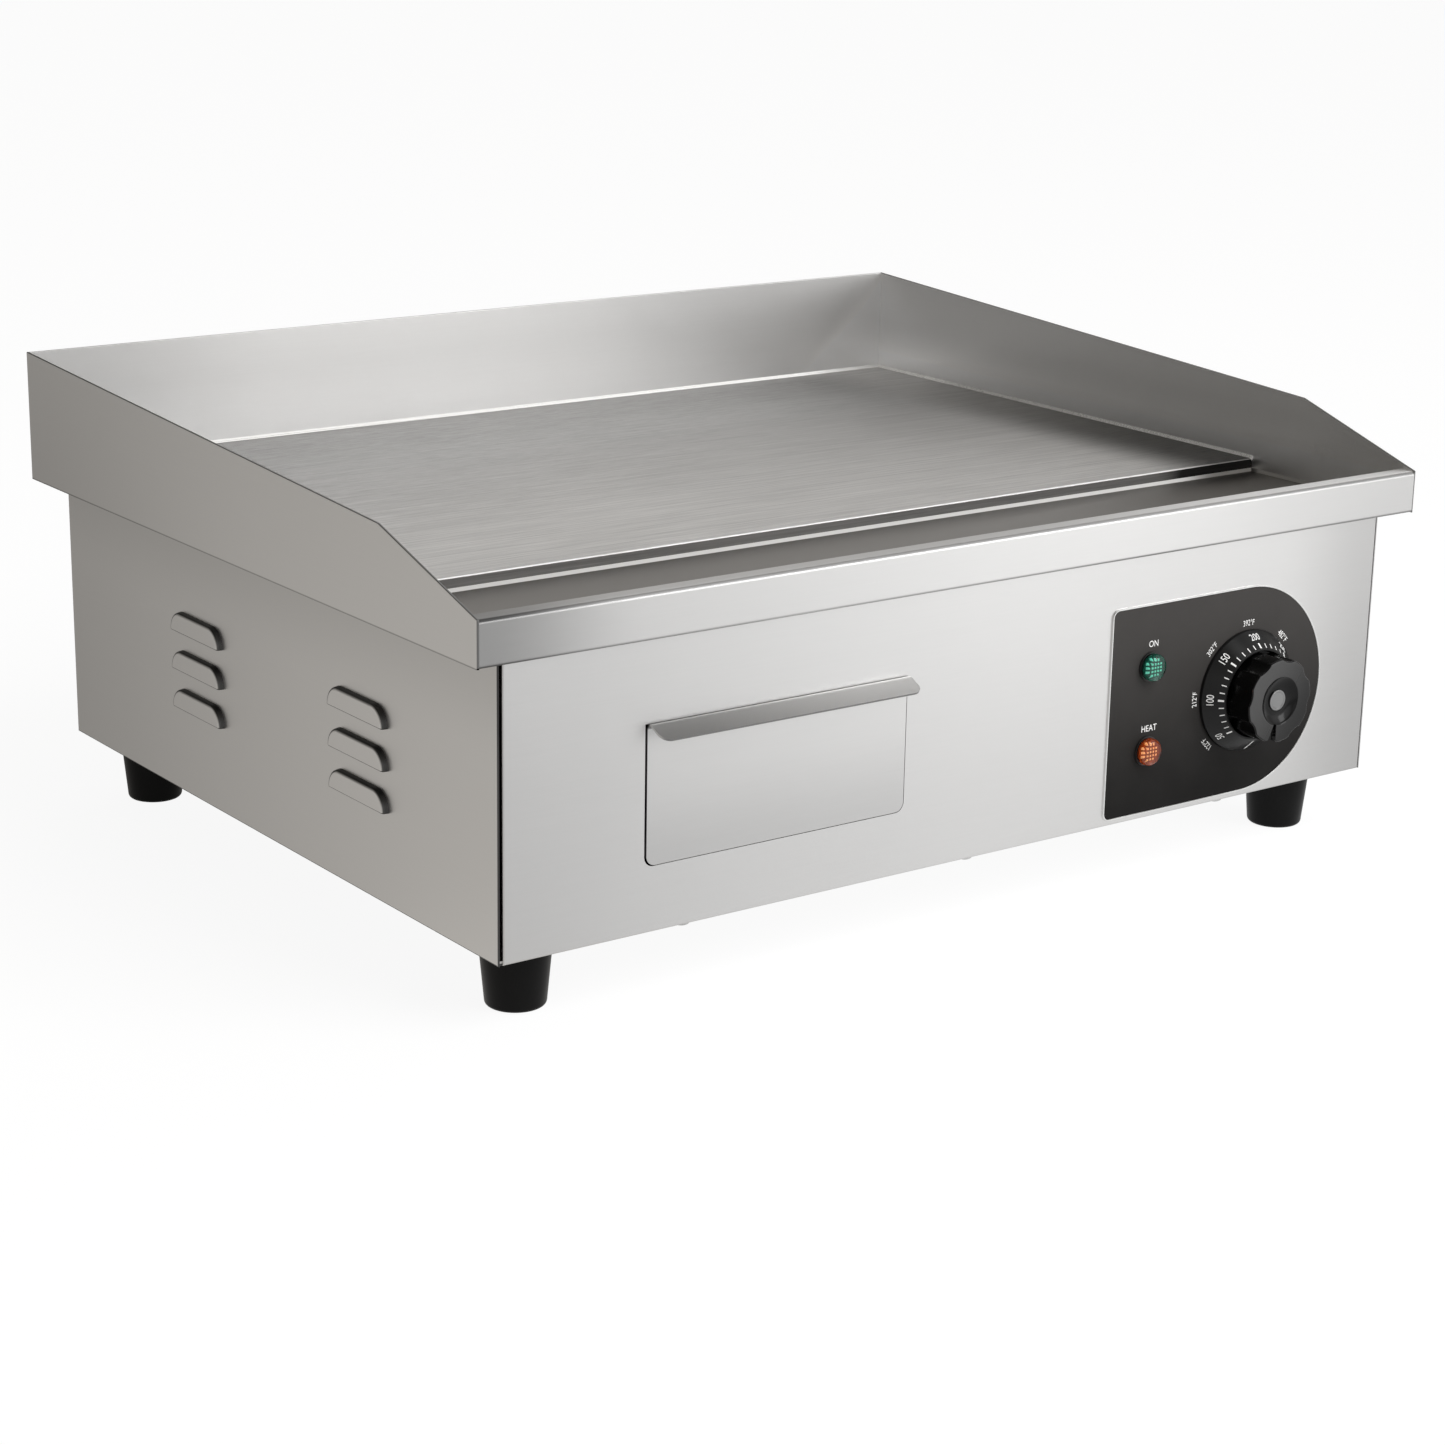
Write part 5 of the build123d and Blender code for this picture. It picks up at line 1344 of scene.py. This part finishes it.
class GRIDDLE_OT_stage(bpy.types.Operator):
    """Lay the floor, set the studio light and stand the camera where the photograph was taken"""

    bl_idname = "griddle.stage"
    bl_label = "Studio"

    def execute(self, context):
        stage = context.scene.griddle_stage
        self.light_world(context.scene)
        self.lay_floor(stage)
        self.hang_lights(stage)
        self.stand_camera(context.scene, stage)
        context.scene.view_settings.view_transform = "Standard"
        return {"FINISHED"}

    def light_world(self, scene):
        """A grey room, paler to the right, with soft patches of light; white where the camera sees it."""
        world = bpy.data.worlds.new("Studio")
        scene.world = world
        world.use_nodes = True
        tree = world.node_tree
        link = tree.links.new
        place = add_node(tree, "ShaderNodeTexCoord").outputs["Generated"]
        patches = [
            (Vector(axis).normalized(), edge, core, 0.0, gain) for axis, edge, core, gain in room_patches
        ]
        parts = [
            ranged(tree, along_axis(tree, place, axis), *span)
            for axis, *span in (room_side, *patches, room_ceiling)
        ]
        strength = worked_out(tree, "MAXIMUM", weighted_sum(tree, parts), room_least)
        warmth = colour_ramp(tree, strength, (0.15, 0.75), ((1.0, 0.95, 0.88), (1, 1, 1)))
        room = tree.nodes["Background"]
        link(warmth, room.inputs["Color"])
        link(strength, room.inputs["Strength"])
        white = add_node(tree, "ShaderNodeBackground")
        white.inputs["Color"].default_value = (1, 1, 1, 1)
        seen = add_node(tree, "ShaderNodeLightPath").outputs["Is Camera Ray"]
        both = mixed_shader(tree, seen, room.outputs["Background"], white.outputs["Background"])
        link(both, tree.nodes["World Output"].inputs["Surface"])

    def lay_floor(self, stage):
        """A flat square at table height: p(i, j) = (x_i, y_j, 0)."""
        side = np.linspace(-stage.floor_half, stage.floor_half, 2)
        xs, ys = np.meshgrid(side, side, indexing="ij")
        points, faces = grid_part(np.stack([xs, ys, np.zeros_like(xs)], axis=-1))
        mesh = bpy.data.meshes.new("studio_floor")
        mesh.from_pydata(points.tolist(), [], faces)
        mesh.materials.append(self.floor_material())
        floor = bpy.data.objects.new("studio_floor", mesh)
        bpy.context.scene.collection.objects.link(floor)

    def floor_material(self):
        """White with the shadow to the camera; to steel and glass, grey with a pale pool.

        The pool is a ridge across the floor that rises towards the front, and is added to a grey that is
        paler in front of the griddle than beside it.
        """
        material, tree, shader = fresh_material("Studio floor")
        link = tree.links.new
        shader.inputs["Base Color"].default_value = (0.80, 0.80, 0.80, 1)
        shader.inputs["Roughness"].default_value = 0.9
        shader.inputs["Specular IOR Level"].default_value = 0.0
        rear, forward, behind = (
            ranged(tree, position(tree, axis), *span)
            for axis, *span in (floor_rear, floor_forward, floor_behind)
        )
        aside = worked_out(tree, "ABSOLUTE", worked_out(tree, "ADD", position(tree, pool_axis), pool_shift))
        ridge = ranged(tree, aside, 0.0, pool_half_width, 1.0, 0.0)
        before = position(tree, FRONT)
        reach = weighted_sum(tree, [ranged(tree, before, *span) for span in pool_reaches])
        strength = weighted_sum(tree, [
            blended(tree, forward, rear, floor_front_strength),
            worked_out(tree, "MULTIPLY", ridge, reach),
            behind,
        ])
        shine = add_node(tree, "ShaderNodeEmission")
        link(colour_ramp(tree, forward, (0, 1), ((1.0, 0.962, 0.91), (1, 1, 1))), shine.inputs["Color"])
        link(strength, shine.inputs["Strength"])
        white = add_node(tree, "ShaderNodeEmission")
        white.inputs["Strength"].default_value = 0.92
        dull = add_node(tree, "ShaderNodeBsdfDiffuse")
        dull.inputs["Color"].default_value = (0.10, 0.10, 0.10, 1)
        shadowed = add_node(tree, "ShaderNodeAddShader")
        link(white.outputs["Emission"], shadowed.inputs[0])
        link(dull.outputs["BSDF"], shadowed.inputs[1])
        rays = add_node(tree, "ShaderNodeLightPath").outputs
        glossy = worked_out(tree, "MAXIMUM", rays["Is Glossy Ray"], rays["Is Transmission Ray"])
        mirrored = mixed_shader(tree, glossy, shader.outputs["BSDF"], shine.outputs["Emission"])
        seen = mixed_shader(tree, rays["Is Camera Ray"], mirrored, shadowed.outputs["Shader"])
        link(seen, tree.nodes["Material Output"].inputs["Surface"])
        return material

    def hang_lights(self, stage):
        """A broad soft light that metal doesn't mirror, and an upright strip that it does."""
        target = (Vector(cad_box[0]) + Vector(cad_box[1])) / 2
        for name, place, wide, tall, power, mirrored in (
            ("key_light", (0.7, -1.7, 1.9), 1.6, 1.6, stage.key_power, False),
            ("strip_light", (0.74, -1.14, 0.47), 0.30, 0.50, stage.strip_power, True),
        ):
            lamp = bpy.data.lights.new(name, "AREA")
            lamp.shape = "RECTANGLE"
            lamp.size = wide
            lamp.size_y = tall
            lamp.energy = power
            holder = bpy.data.objects.new(name, lamp)
            holder.location = place
            holder.rotation_euler = (target - Vector(place)).to_track_quat("-Z", "Y").to_euler()
            holder.visible_glossy = mirrored
            holder.visible_camera = False
            bpy.context.scene.collection.objects.link(holder)

    def stand_camera(self, scene, stage):
        """The camera's axes from its azimuth, elevation and roll."""
        azimuth, elevation = stage.camera_azimuth, stage.camera_elevation
        back = Vector((
            math.sin(azimuth) * math.cos(elevation),
            -math.cos(azimuth) * math.cos(elevation),
            math.sin(elevation),
        ))
        right = Vector((0, 0, 1)).cross(back).normalized()
        up = back.cross(right)
        turn_cos, turn_sin = math.cos(stage.camera_roll), math.sin(stage.camera_roll)
        axes = Matrix((
            turn_cos * right + turn_sin * up,
            turn_cos * up - turn_sin * right,
            back,
        )).transposed()
        lens = bpy.data.cameras.new("photo_camera")
        lens.lens = stage.camera_lens
        lens.sensor_width = 36.0
        camera = bpy.data.objects.new("photo_camera", lens)
        camera.matrix_world = Matrix.Translation(stage.camera_place) @ axes.to_4x4()
        scene.collection.objects.link(camera)
        scene.camera = camera


class VIEW3D_PT_griddle(bpy.types.Panel):
    """Lists the griddle's steps and sizes"""

    bl_idname = "VIEW3D_PT_griddle"
    bl_label = "Countertop griddle"
    bl_space_type = "VIEW_3D"
    bl_region_type = "UI"
    bl_category = "Griddle"

    def draw(self, context):
        for step in steps:
            self.layout.operator(step.bl_idname)
        for group in settings:
            values = getattr(context.scene, group)
            for key in values.__annotations__:
                self.layout.prop(values, key)


settings = {
    "griddle_steel": GriddleSteel,
    "griddle_controls": GriddleControls,
    "griddle_trim": GriddleTrim,
    "griddle_stage": GriddleStage,
}
steps = (
    GRIDDLE_OT_steel,
    GRIDDLE_OT_inner,
    GRIDDLE_OT_controls,
    GRIDDLE_OT_print,
    GRIDDLE_OT_bezel,
    GRIDDLE_OT_knob,
    GRIDDLE_OT_lamps,
    GRIDDLE_OT_feet,
    GRIDDLE_OT_screws,
    GRIDDLE_OT_stage,
)


def register():
    for kind in (*settings.values(), *steps, VIEW3D_PT_griddle):
        bpy.utils.register_class(kind)
    for name, kind in settings.items():
        setattr(bpy.types.Scene, name, PointerProperty(type=kind))


def unregister():
    for name in settings:
        delattr(bpy.types.Scene, name)
    for kind in reversed((*settings.values(), *steps, VIEW3D_PT_griddle)):
        bpy.utils.unregister_class(kind)


def main():
    """Run every step in order."""
    register()
    bpy.ops.griddle.steel()
    bpy.ops.griddle.inner()
    bpy.ops.griddle.controls()
    bpy.ops.griddle.print()
    bpy.ops.griddle.bezel()
    bpy.ops.griddle.knob()
    bpy.ops.griddle.lamps()
    bpy.ops.griddle.feet()
    bpy.ops.griddle.screws()
    bpy.ops.griddle.stage()


if __name__ == "__main__":
    main()
